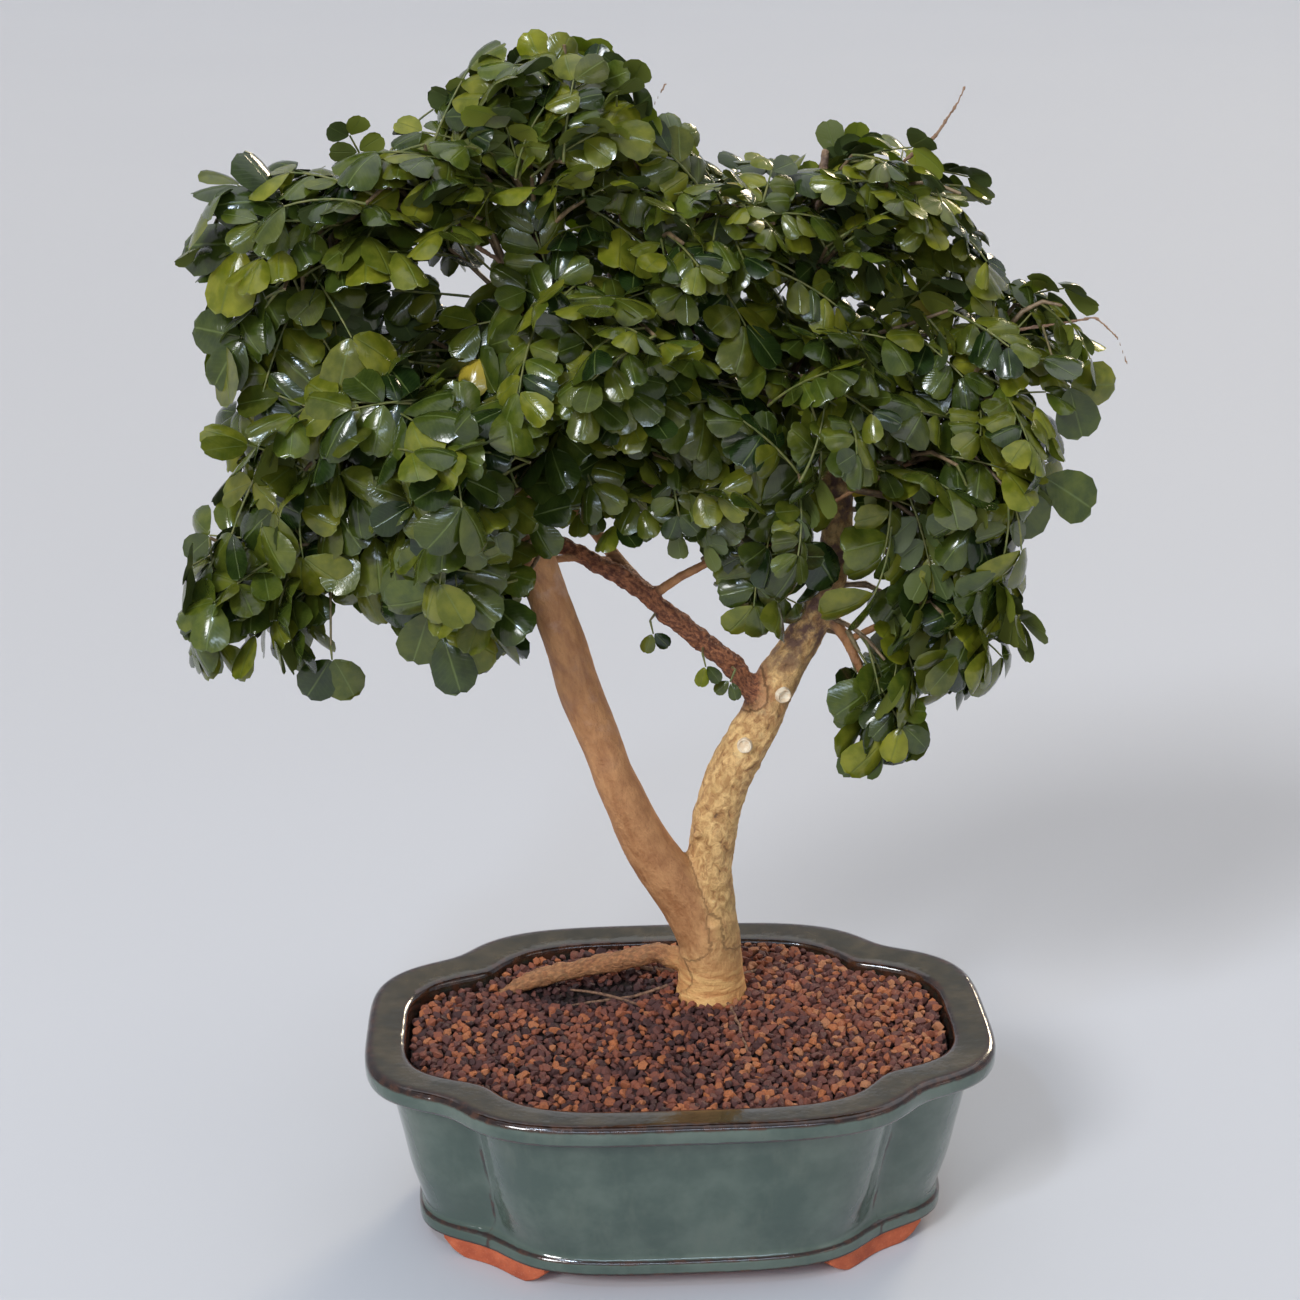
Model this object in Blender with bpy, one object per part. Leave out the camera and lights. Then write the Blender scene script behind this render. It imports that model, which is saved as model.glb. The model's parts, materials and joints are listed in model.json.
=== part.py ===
"""Logwood bonsai: a forked tree with leafy shoots, in soil, in a lobed glazed pot.

Metres, +Z up, the front is -Y. The tree is built over the middle of the pot, and at the end
all is moved so that the origin is on the ground under the middle of the whole plant.
"""
import math
import random

import bmesh
import bpy
from mathutils import Matrix, Vector
from mathutils.bvhtree import BVHTree
from mathutils.geometry import delaunay_2d_cdt

MM = 0.001
UP = Vector((0, 0, 1))

# Pot: half sizes of the rim's long and wide lobes, read from the photo
RIM_LONG_HALF = 0.155
RIM_LONG_LOBE = 0.0766
RIM_WIDE_LOBE = 0.1177
RIM_WIDE_HALF = 0.103
LOBE_POWER = 4.0
RIM_SOFTNESS = 0.0053
BODY_SOFTNESS = 0.0012
BASE_SOFTNESS = 0.0115
POT_HEIGHT = 0.106
FOOT_HEIGHT = 0.010
FLOOR_TOP = 0.020
POT_SIDES = 56
BAND_INSET = 0.0235
FLOOR_INSET = 0.0345
WALL_TOP_INSET = 0.0225
WALL_TOP_Z = 0.090
MOUTH_INSET = 0.0195
MOUTH_Z = 0.1015
# Each ring of the pot from its underside, up the outside, over the lip and down inside:
# inset from the rim's outline, height and softness of the notches
POT_RINGS = [
    (BAND_INSET, FOOT_HEIGHT, BASE_SOFTNESS),
    (BAND_INSET, 0.0170, BASE_SOFTNESS),
    (0.0255, 0.0190, 0.0090),
    (0.0190, 0.0450, 0.0020),
    (0.0135, 0.0780, BODY_SOFTNESS),
    (0.0112, 0.0925, 0.0030),
    (0.0012, 0.0955, RIM_SOFTNESS),
    (0.0, 0.1040, RIM_SOFTNESS),
    (0.0018, POT_HEIGHT, RIM_SOFTNESS),
    (0.0172, 0.1046, RIM_SOFTNESS),
    (MOUTH_INSET, MOUTH_Z, RIM_SOFTNESS),
    (WALL_TOP_INSET, WALL_TOP_Z, RIM_SOFTNESS),
    (FLOOR_INSET, FLOOR_TOP, RIM_SOFTNESS),
]
# Feet: stretch of the base along X, insets of both sides, share of a foot that lies flat
FOOT_REACH = (0.069, 0.119)
FOOT_INSETS = (0.0245, 0.042)
FOOT_STATIONS = 6
FOOT_FLAT = 0.6
FOOT_END_RISE = 0.0075
FOOT_END_TAPER = 0.45
FOOT_SUNK = 0.004
DRAIN_X = 0.052
DRAIN_RADIUS = 0.010

# Drain screens on the floor inside
SCREEN_HALF = 0.014
SCREEN_THICKNESS = 0.0012
SCREEN_HOLE = 0.0088
SCREEN_PITCH = 0.0060

# Soil: level at the wall, rise at the trunk, hollow beside the surface root
GAP = 0.0003
WALL_GAP = 1.4 * GAP
WOOD_GAP = 1.5 * GAP
SOIL_EDGE_Z = 0.0990
SOIL_RISE = 0.0078
SOIL_MOUND = 0.075
GRAIN_PITCH = 0.0112
GRAIN_RELIEF = 0.0013
HOLLOW_AT = (-0.040, 0.036)
HOLLOW_REACH = (0.032, 0.012)
HOLLOW_DEPTH = 0.007

# Wood: each point is x, y, z and radius in millimetres, read from the photo
STUMP = [
    (18.5, 26.5, 66, 13),
    (18.5, 26.5, 92, 17),
    (18.5, 26.5, 104, 17.6),
    (18.3, 26.5, 113, 16.2),
    (17.6, 26.3, 132, 15.6),
    (16.0, 26.0, 150, 14.6),
]
LEFT_STEM = [
    (14, 26, 138, 13),
    (6, 24, 157, 13),
    (-1.7, 22, 171, 12.8),
    (-15, 18, 194, 11.6),
    (-28.7, 12, 228, 9.8),
    (-35.4, 10, 248, 9.6),
    (-47.1, 6, 282, 10),
    (-52.4, 4, 303, 9.5),
    (-66, 0, 347, 9),
    (-76.5, -2, 386, 8),
    (-80.3, -2, 414, 7.4),
    (-74.7, 0, 455, 6),
    (-65.8, 4, 494, 4.6),
    (-66, 6, 529, 3),
    (-61, 10, 541, 2.0),
]
RIGHT_STEM = [
    (19.5, 27, 140, 12.5),
    (18, 27, 160, 12),
    (17.6, 27, 178, 11.4),
    (22.6, 29, 210, 11.4),
    (28.6, 30, 227, 11.6),
    (36, 31, 240, 10.4),
    (44.8, 32, 258, 10.3),
    (47.7, 33, 267, 10.6),
    (56.9, 34, 283, 9.6),
    (63.7, 35, 295, 8.7),
    (70, 36, 310, 8.6),
    (77, 38, 328, 8),
    (79.6, 40, 351, 7.4),
    (76.3, 42, 380, 7),
    (71.2, 44, 409, 6.2),
    (66.1, 46, 442, 5.4),
    (63.9, 48, 470, 4.6),
    (68.3, 50, 498, 3.2),
    (71, 50, 526, 1.5),
]
CROSS_BRANCH = [
    (46, 33, 262, 6),
    (36, 31.5, 270, 5.6),
    (29.7, 30, 280, 5.2),
    (12.3, 27, 297, 5),
    (-4.8, 25, 312, 5),
    (-18, 24, 325, 4.6),
    (-36, 25, 336, 4.2),
    (-56, 28, 346, 3.8),
    (-82, 30, 356, 3.2),
    (-104, 26, 366, 2.4),
]
CROSS_FORK = [
    (-12, 25, 319, 4),
    (-26, 34, 334, 3.6),
    (-40, 46, 350, 3.2),
    (-60, 62, 372, 2.4),
]
SURFACE_ROOT = [
    (14, 29, 119, 7),
    (1, 34, 121, 6),
    (-10, 38, 122, 5.2),
    (-28, 42, 116, 4.8),
    (-48, 45, 110.5, 4.8),
    (-69, 47, 104.5, 4.6),
    (-86, 46.5, 97, 3.6),
    (-93, 46, 91, 2.4),
]
# Thin bare twigs that stand out of the foliage
BARE_TWIGS = [
    [(104, 38, 520, 1.5), (119, 34, 533, 1.4), (128, 31, 548, 1.2), (131, 30, 556, 1.0)],
    [(176, 32, 446, 1.4), (196, 28, 450, 1.2), (206, 25, 441, 1.1), (211, 24, 428, 0.9)],
    [(-22, 12, 538, 1.3), (-10, 10, 550, 1.1), (-4, 9, 561, 0.9)],
]
# Pruning scars: centre on the bark, and radius, in millimetres
SCARS = [((33.5, 18.5, 243.5), 3.4), ((52.5, 22, 268.5), 3.6)]
SCAR_LIFT = 0.0009
KNOTS = [
    [(34, 29, 228, 2.6), (43, 27, 229, 1.7)],
    [(17, 24, 196, 2.6), (9, 17, 197, 1.7)],
]
STEM_ROUNDNESS = 3
ROOT_ROUNDNESS = 2
BRANCH_ROUNDNESS = 1
# Branches: where they may start, what a long way along the wood costs, and their sizes
FIRST_BRANCH_Z = 0.30
WALK_COST = 0.3
THIN_WOOD = 0.0065
SHORTEST_BRANCH = 0.022
BRANCH_LIFT = 0.012
BRANCH_STEPS = 4
BRANCH_SHARE = 0.72
BRANCH_RADIUS = 0.0045
BRANCH_TIP_RADIUS = 0.0017

# Foliage masses: centre, radii in millimetres, number of shoots and where the first one reaches
MASSES = {
    "peak": ((-53, 5, 541), (54, 52, 48), 3, (0.12, -0.3, 1)),
    "upper_left": ((-121, 0, 511), (50, 66, 38), 3, (-0.5, -0.2, 0.8)),
    "left_top": ((-179, -5, 488), (38, 52, 46), 2, (-1, -0.3, 0.2)),
    "left_mid": ((-169, -5, 421), (46, 62, 45), 2, (-1, -0.5, 0)),
    "left_low": ((-193, -10, 341), (47, 52, 46), 3, (-1, -0.1, -0.2)),
    "centre_left": ((-103, 0, 405), (57, 98, 59), 3, (-0.2, -1, 0.1)),
    "left_skirt": ((-98, -15, 337), (48, 58, 42), 2, (0.5, -0.4, -0.6)),
    "centre": ((-34, 15, 446), (59, 108, 59), 4, (0, -1, 0.1)),
    "centre_top": ((11, 20, 499), (47, 72, 38), 2, (0.2, -0.5, 0.8)),
    "right_top": ((90, 35, 502), (56, 62, 38), 3, (0.8, -0.2, 0.4)),
    "right_edge": ((156, 30, 444), (50, 52, 41), 2, (1, -0.1, 0.2)),
    "right_mid": ((130, 25, 389), (56, 72, 50), 3, (0.7, -0.7, -0.2)),
    "right_low": ((137, 15, 312), (38, 44, 46), 2, (0.4, -0.2, -1)),
    "right_drop": ((96, 20, 263), (28, 34, 46), 1, (-0.1, -0.1, -1)),
    "centre_right": ((54, 30, 413), (56, 104, 61), 3, (0, -1, -0.1)),
    "middle_skirt": ((42, 10, 347), (40, 52, 45), 1, (0.1, -0.5, -0.8)),
}
SEED = 201

# Leaves: a notched leaflet's points as shares of its length and width, then its sizes
LEAFLET_POINTS = [(0.68, -0.50), (0.97, -0.29), (0.87, 0.0), (0.97, 0.29), (0.68, 0.50)]
LEAFLET_LEAN = math.radians(66)
LAST_LEAN = math.radians(33)
FIRST_PAIR = 0.42
LAST_PAIR = 0.95
LEAF_LENGTH = 0.060
LEAFLET_LENGTH = 0.0262
LEAFLET_WIDTH = 0.0222
RIB_WIDTH = 0.0015
RIB_ROOT_WIDTH = 0.0009
NECK_WIDTH = 0.0028
BLADE_THICKNESS = 0.0007
CLEAR_THICKNESS = 0.0021
STEM_RADII = (0.0018, 0.0018, 0.0016, 0.0015)
STEM_CLEARANCE = 0.0007
STEM_TRIES = 12
NUDGES = 24
LEAF_TRIES = 90
LEAF_ROOT = 0.002
REACH_LIMIT = 1.06
OWN_FREE = 0.006
SPARE_SHOOTS = 3
DIRECTIONS = 160
NEAR_TWIGS = 5
STEM_RISES = (0.10, 0.28, -0.10)
SHORTEST_STEM = 0.012
GOAL_SHIFT = 0.004
CROWN_MIDDLE = Vector((-0.015, 0.040, 0.380))
# How far inside the crown's skin a shoot ends, in leaf lengths, first choice first
GOAL_DEPTHS = (0.9, 1.0, 0.78, 1.15)
# Leaves of a shoot: share along its last stretch, pairs of leaflets and size
LEAF_PLAN = [(1.0, 3, 1.08), (0.5, 2, 1.05)]


def lobed_radius(angle, inset, softness):
    """Radius of the pot's outline: the larger of two rounded rectangles, blended."""

    def rounded(half_x, half_y):
        across = abs(math.cos(angle)) / (half_x - inset)
        along = abs(math.sin(angle)) / (half_y - inset)
        return (across**LOBE_POWER + along**LOBE_POWER) ** (-1 / LOBE_POWER)

    long_lobe = rounded(RIM_LONG_HALF, RIM_LONG_LOBE)
    wide_lobe = rounded(RIM_WIDE_LOBE, RIM_WIDE_HALF)
    top = max(long_lobe, wide_lobe)
    low = min(long_lobe, wide_lobe)
    return top + softness * math.log(1 + math.exp((low - top) / softness))


def lobed_ring(inset, z, softness, sides=POT_SIDES):
    """Points of the pot's outline, spaced evenly enough along it."""
    ring = []
    for i in range(sides):
        turn = 2 * math.pi * i / sides
        angle = math.atan2(RIM_WIDE_HALF * math.sin(turn), RIM_LONG_HALF * math.cos(turn))
        radius = lobed_radius(angle, inset, softness)
        ring.append(Vector((radius * math.cos(angle), radius * math.sin(angle), z)))
    return ring


def loft(name, rings):
    """A closed body through rings of points, capped at both ends."""
    bm = bmesh.new()
    rows = [[bm.verts.new(point) for point in ring] for ring in rings]
    count = len(rows[0])
    for below, above in zip(rows, rows[1:]):
        for i in range(count):
            j = (i + 1) % count
            bm.faces.new((below[i], below[j], above[j], above[i]))
    bm.faces.new(list(reversed(rows[0])))
    bm.faces.new(rows[-1])
    bmesh.ops.triangulate(bm, faces=bm.faces)
    bmesh.ops.recalc_face_normals(bm, faces=bm.faces)
    return mesh_object(name, bm)


def mesh_object(name, bm):
    """A new object in the bonsai's collection that holds the bmesh."""
    mesh = bpy.data.meshes.new(name)
    bm.to_mesh(mesh)
    bm.free()
    thing = bpy.data.objects.new(name, mesh)
    bonsai.objects.link(thing)
    return thing


def drain(x):
    """An upright cylinder that cuts one drain hole."""
    bm = bmesh.new()
    bmesh.ops.create_cone(
        bm,
        cap_ends=True,
        segments=16,
        radius1=DRAIN_RADIUS,
        radius2=DRAIN_RADIUS,
        depth=2 * FLOOR_TOP,
        matrix=Matrix.Translation((x, 0, (FOOT_HEIGHT + FLOOR_TOP) / 2)),
    )
    return mesh_object("drain", bm)


def box(name, centre, size):
    """A closed box."""
    bm = bmesh.new()
    scale = Matrix.Diagonal((*size, 1))
    bmesh.ops.create_cube(bm, size=1, matrix=Matrix.Translation(centre) @ scale)
    return mesh_object(name, bm)


def tube(name, points, radii, roundness):
    """A bent round bar with capped ends, as a mesh object."""
    curve = bpy.data.curves.new(name, "CURVE")
    curve.dimensions = "3D"
    curve.bevel_depth = 1
    curve.bevel_resolution = roundness
    curve.use_fill_caps = True
    curve.twist_mode = "MINIMUM"
    spline = curve.splines.new("POLY")
    spline.points.add(len(points) - 1)
    for target, point, radius in zip(spline.points, points, radii):
        target.co = (*point, 1)
        target.radius = radius
    holder = bpy.data.objects.new(name, curve)
    bonsai.objects.link(holder)
    bpy.context.view_layer.update()
    mesh = bpy.data.meshes.new_from_object(holder)
    bpy.data.objects.remove(holder)
    bm = bmesh.new()
    bm.from_mesh(mesh)
    bpy.data.meshes.remove(mesh)
    bmesh.ops.remove_doubles(bm, verts=bm.verts, dist=0.00002)
    bmesh.ops.recalc_face_normals(bm, faces=bm.faces)
    return mesh_object(name, bm)


def bar(name, stations, roundness, extra=0.0):
    """A tube from stations of x, y, z and radius in millimetres."""
    points = [Vector(station[:3]) * MM for station in stations]
    radii = [station[3] * MM + extra for station in stations]
    return tube(name, points, radii, roundness)


def join(base, others, operation="UNION", solver="EXACT"):
    """Apply one Boolean of the base with a collection of other objects, then remove them."""
    group = bpy.data.collections.new("cutters")
    bpy.context.scene.collection.children.link(group)
    group.hide_render = True
    for other in others:
        bonsai.objects.unlink(other)
        group.objects.link(other)
        other.display_type = "WIRE"
    change = base.modifiers.new("join", "BOOLEAN")
    change.operation = operation
    change.operand_type = "COLLECTION"
    change.collection = group
    change.solver = solver
    bpy.context.view_layer.objects.active = base
    bpy.ops.object.modifier_apply(modifier=change.name)
    for other in others:
        bpy.data.objects.remove(other)
    bpy.data.collections.remove(group)
    return base


def bodies_of(bm):
    """The bmesh's faces, as one list for each connected body, smallest first."""
    left = set(bm.faces)
    bodies = []
    while left:
        body = []
        found = [left.pop()]
        while found:
            face = found.pop()
            body.append(face)
            for edge in face.edges:
                for other in edge.link_faces:
                    if other in left:
                        left.remove(other)
                        found.append(other)
        bodies.append(body)
    return sorted(bodies, key=len)


def tidy(thing):
    """Weld what the Boolean left doubled, as far as one closed body stays, and triangulate."""
    for weld in (0.00004, 0.00001, 0.000002, 0.0):
        bm = bmesh.new()
        bm.from_mesh(thing.data)
        if weld:
            bmesh.ops.remove_doubles(bm, verts=bm.verts, dist=weld)
            bmesh.ops.dissolve_degenerate(bm, edges=bm.edges, dist=weld)
        bmesh.ops.triangulate(bm, faces=bm.faces)
        sound = all(edge.is_manifold for edge in bm.edges) and len(bodies_of(bm)) == 1
        if sound or not weld:
            bm.to_mesh(thing.data)
        bm.free()
        if sound:
            break
    return thing


def paint(thing, name, colour, roughness, metallic=0.0):
    """Give the object its own Principled material."""
    material = bpy.data.materials.get(name) or bpy.data.materials.new(name)
    material.use_nodes = True
    shader = material.node_tree.nodes["Principled BSDF"]
    shader.inputs["Base Color"].default_value = (*colour, 1)
    shader.inputs["Roughness"].default_value = roughness
    shader.inputs["Metallic"].default_value = metallic
    material.diffuse_color = (*colour, 1)
    thing.data.materials.clear()
    thing.data.materials.append(material)


def surface_tree(thing):
    """A search tree over the object's faces."""
    bm = bmesh.new()
    bm.from_mesh(thing.data)
    found = BVHTree.FromBMesh(bm)
    bm.free()
    return found


def pot_foot(side_x, side_y):
    """One foot, bent round the notch at a corner of the base, its ends raised."""
    outer = lobed_ring(FOOT_INSETS[0], 0, BASE_SOFTNESS, 4 * POT_SIDES)
    corner = [p for p in outer if FOOT_REACH[0] < p.x < FOOT_REACH[1] and p.y > FOOT_INSETS[0]]
    rings = []
    for i in range(FOOT_STATIONS):
        share = i / (FOOT_STATIONS - 1)
        point = corner[round(share * (len(corner) - 1))]
        end = abs(2 * share - 1)
        depth = (FOOT_INSETS[1] - FOOT_INSETS[0]) * (1 - FOOT_END_TAPER * end**3)
        inner = point - point.normalized() * depth
        low = FOOT_END_RISE * max(0.0, (end - FOOT_FLAT) / (1 - FOOT_FLAT))
        high = FOOT_HEIGHT + FOOT_SUNK
        section = [(point, low), (point, high), (inner, high), (inner, low)]
        rings.append([Vector((side_x * p.x, side_y * p.y, z)) for p, z in section])
    return loft("foot", rings)


def make_pot():
    """The glazed pot: base band, lobed body, broad lip, feet and two drain holes."""
    pot = loft("pot", [lobed_ring(*ring) for ring in POT_RINGS])
    feet = [pot_foot(x, y) for x in (1, -1) for y in (1, -1)]
    join(pot, feet)
    join(pot, [drain(-DRAIN_X), drain(DRAIN_X)], "DIFFERENCE")
    paint(tidy(pot), "teal glaze", (0.10, 0.16, 0.14), 0.18)


def make_screen(name, x):
    """A square of plastic drain mesh that lies over a hole in the pot's floor."""
    z = FLOOR_TOP + GAP + SCREEN_THICKNESS / 2
    screen = box(name, (x, 0, z), (2 * SCREEN_HALF, 2 * SCREEN_HALF, SCREEN_THICKNESS))
    hole = (SCREEN_HOLE, SCREEN_HOLE, 3 * SCREEN_THICKNESS)
    steps = (-SCREEN_PITCH, SCREEN_PITCH)
    holes = [box("hole", (x + dx, dy, z), hole) for dx in steps for dy in steps]
    join(screen, holes, "DIFFERENCE")
    paint(tidy(screen), "drain mesh", (0.02, 0.02, 0.02), 0.5)


def soil_level(x, y):
    """Height of the soil before its grains: a mound at the trunk, a hollow at the root."""
    away = math.hypot(x - STUMP[0][0] * MM, y - STUMP[0][1] * MM)
    mound = SOIL_RISE * math.exp(-((away / SOIL_MOUND) ** 2))
    across = ((x - HOLLOW_AT[0]) / HOLLOW_REACH[0]) ** 2
    along = ((y - HOLLOW_AT[1]) / HOLLOW_REACH[1]) ** 2
    return SOIL_EDGE_Z + mound - HOLLOW_DEPTH * math.exp(-across - along)


def grain_spots(inset, draw):
    """Places of the coarse grains on the soil, in shaken rows inside the pot's mouth."""
    spots = []
    rows = int(RIM_WIDE_HALF / GRAIN_PITCH)
    columns = int(RIM_LONG_HALF / GRAIN_PITCH)
    for row in range(-rows, rows + 1):
        for column in range(-columns, columns + 1):
            x = (column + 0.5 * (row % 2) + draw.uniform(-0.25, 0.25)) * GRAIN_PITCH
            y = (row * 0.87 + draw.uniform(-0.25, 0.25)) * GRAIN_PITCH
            edge = lobed_radius(math.atan2(y, x), inset, RIM_SOFTNESS)
            if math.hypot(x, y) < edge - 0.55 * GRAIN_PITCH:
                spots.append(Vector((x, y)))
    return spots


def soil_body(draw):
    """The soil as one closed body, its top covered in coarse grains."""
    slope = (WALL_TOP_INSET - MOUTH_INSET) / (MOUTH_Z - WALL_TOP_Z)
    edge_inset = WALL_TOP_INSET + WALL_GAP - slope * (SOIL_EDGE_Z - WALL_TOP_Z)
    rings = [
        lobed_ring(FLOOR_INSET + WALL_GAP, FLOOR_TOP + GAP, RIM_SOFTNESS),
        lobed_ring(WALL_TOP_INSET + WALL_GAP, WALL_TOP_Z, RIM_SOFTNESS),
        lobed_ring(edge_inset, SOIL_EDGE_Z, RIM_SOFTNESS),
    ]
    soil = loft("soil", rings)
    bm = bmesh.new()
    bm.from_mesh(soil.data)
    bmesh.ops.delete(bm, geom=[f for f in bm.faces if f.normal.z > 0.99], context="FACES_ONLY")
    rim = [v for v in bm.verts if abs(v.co.z - SOIL_EDGE_Z) < GAP]
    rim.sort(key=lambda v: math.atan2(v.co.y, v.co.x))
    spots = [v.co.xy for v in rim] + grain_spots(edge_inset, draw)
    cells = delaunay_2d_cdt(spots, [], [list(range(len(rim)))], 1, 0.0)[2]
    tops = list(rim)
    for x, y in spots[len(rim) :]:
        lift = draw.uniform(-GRAIN_RELIEF, GRAIN_RELIEF)
        tops.append(bm.verts.new((x, y, soil_level(x, y) + lift)))
    for cell in cells:
        bm.faces.new([tops[i] for i in cell])
    bmesh.ops.recalc_face_normals(bm, faces=bm.faces)
    bm.to_mesh(soil.data)
    bm.free()
    return soil


def make_soil():
    """The soil that fills the pot, with a plain hole for the stump and a bed for the root."""
    soil = soil_body(random.Random(SEED))
    pocket = (2 * (SCREEN_HALF + GAP), 2 * (SCREEN_HALF + GAP), 2 * (SCREEN_THICKNESS + GAP))
    beds = [
        bar("stump bed", STUMP, STEM_ROUNDNESS, WOOD_GAP),
        bar("root bed", SURFACE_ROOT, ROOT_ROUNDNESS, WOOD_GAP),
        box("screen bed", (-DRAIN_X, 0, FLOOR_TOP + GAP), pocket),
        box("screen bed", (DRAIN_X, 0, FLOOR_TOP + GAP), pocket),
    ]
    join(soil, beds, "DIFFERENCE")
    paint(tidy(soil), "soil", (0.13, 0.06, 0.035), 0.95)


def bend(start, end, lift, steps):
    """Points on an arc-like path that rises a little between its ends."""
    middle = (start + end) / 2 + lift
    path = []
    for i in range(steps + 1):
        t = i / steps
        path.append(start * (1 - t) ** 2 + middle * (2 * t * (1 - t)) + end * t**2)
    return path


def stem_places():
    """Points of the stems that branches may grow from: place, radius and way from the root."""
    places = []
    for stem in (LEFT_STEM, RIGHT_STEM, CROSS_BRANCH, CROSS_FORK):
        walked = 0.0
        last = Vector(stem[0][:3]) * MM
        for station in stem:
            point = Vector(station[:3]) * MM
            walked += (point - last).length
            last = point
            if point.z > FIRST_BRANCH_Z:
                places.append((point, station[3] * MM, walked))
    return places


def branch_cost(place, goal):
    """How poor a place is to grow a branch from: far off, far out or above the goal."""
    point, _, walked = place
    above = max(0.0, point.z - goal.z)
    return (goal - point).length + WALK_COST * (walked + above)


def grow_branches():
    """Branches from the stems into each foliage mass, each from the cheapest place to start.

    Returns the tubes and the points that shoots may grow from.
    """
    places = stem_places()
    draw = random.Random(SEED)
    tubes = []
    twigs = [point for point, radius, _ in places if radius < THIN_WOOD]
    goals = [Vector(mass[0]) * MM for mass in MASSES.values()]
    while goals:
        goal = min(goals, key=lambda g: min((g - place[0]).length for place in places))
        goals.remove(goal)
        start, radius, walked = min(places, key=lambda place: branch_cost(place, goal))
        if (goal - start).length < SHORTEST_BRANCH:
            continue
        lift = Vector((draw.uniform(-1, 1), draw.uniform(-1, 1), 1.2)) * BRANCH_LIFT
        path = bend(start, goal, lift, BRANCH_STEPS)
        first = min(radius * BRANCH_SHARE, BRANCH_RADIUS)
        taper = (BRANCH_TIP_RADIUS - first) / BRANCH_STEPS
        radii = [first + taper * i for i in range(BRANCH_STEPS + 1)]
        tubes.append(tube("branch", path, radii, BRANCH_ROUNDNESS))
        for a, b, thick in zip(path, path[1:], radii[1:]):
            walked += (b - a).length
            places.append((b, thick, walked))
            twigs.append(b)
            if (b - start).length > SHORTEST_BRANCH:
                twigs.append((a + b) / 2)
    return tubes, twigs


def bare_twig(stations, twigs):
    """A thin twig without leaves, grown from the nearest branch."""
    first = Vector(stations[0][:3]) * MM
    source = min(twigs, key=lambda twig: (twig - first).length)
    root = (*(source / MM), stations[0][3] + 0.3)
    return bar("bare twig", [root] + stations, 0)


def pruning_scar(centre, radius):
    """A low round scar where a branch of the right stem was cut off."""
    face = Vector(centre) * MM
    middle = nearest_on(RIGHT_STEM, face)
    station = min(RIGHT_STEM, key=lambda s: (Vector(s[:3]) * MM - face).length)
    out = (face - middle).normalized()
    reach = middle + out * (station[3] * MM + SCAR_LIFT)
    return tube("scar", [middle, reach], [radius * MM] * 2, STEM_ROUNDNESS)


def make_trunk():
    """All of the wood as one grown piece: stump, two stems, branches, twigs and root."""
    trunk = bar("trunk", STUMP, STEM_ROUNDNESS)
    pieces, twigs = grow_branches()
    pieces.append(bar("left stem", LEFT_STEM, STEM_ROUNDNESS))
    pieces.append(bar("right stem", RIGHT_STEM, STEM_ROUNDNESS))
    pieces.append(bar("cross branch", CROSS_BRANCH, ROOT_ROUNDNESS))
    pieces.append(bar("cross fork", CROSS_FORK, ROOT_ROUNDNESS))
    pieces.append(bar("surface root", SURFACE_ROOT, ROOT_ROUNDNESS))
    pieces.extend(bare_twig(stations, twigs) for stations in BARE_TWIGS)
    pieces.extend(pruning_scar(*scar) for scar in SCARS)
    pieces.extend(bar("knot", stations, BRANCH_ROUNDNESS) for stations in KNOTS)
    join(trunk, pieces)
    paint(tidy(trunk), "bark", (0.42, 0.25, 0.13), 0.8)
    return trunk, twigs


def nearest_on(stem, point):
    """The nearest point on a stem's centre line."""
    line = [Vector(station[:3]) * MM for station in stem]
    best = None
    for a, b in zip(line, line[1:]):
        t = max(0, min(1, (point - a).dot(b - a) / (b - a).length_squared))
        near = a + (b - a) * t
        if best is None or (near - point).length < (best - point).length:
            best = near
    return best


def leaf_outline(length, pairs, size):
    """Flat outline of a compound leaf, cut to its rib: (along, across) points, in order.

    Each leaflet is a notched heart on a short neck, and the last pair ends the leaf.
    """
    half_rib = RIB_WIDTH / 2
    half_neck = NECK_WIDTH / 2
    side = [(0.0, RIB_ROOT_WIDTH / 2)]
    for i in range(pairs):
        last = i == pairs - 1
        share = i / (pairs - 1)
        along = length * (FIRST_PAIR + (LAST_PAIR - FIRST_PAIR) * share)
        lean = LAST_LEAN if last else LEAFLET_LEAN
        scale = size * (0.92 + 0.14 * share)
        out = Vector((math.cos(lean), math.sin(lean))) * LEAFLET_LENGTH * scale
        across = Vector((math.sin(lean), -math.cos(lean))) * LEAFLET_WIDTH * scale
        side.append((along - half_neck, half_rib))
        for run, spread in LEAFLET_POINTS:
            point = Vector((along, half_rib)) + out * run + across * spread
            side.append(tuple(point))
        if not last:
            side.append((along + half_neck, half_rib))
    mirrored = [(u, -v) for u, v in reversed(side)]
    return side + [(length * LAST_PAIR + half_neck, 0.0)] + mirrored


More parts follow.
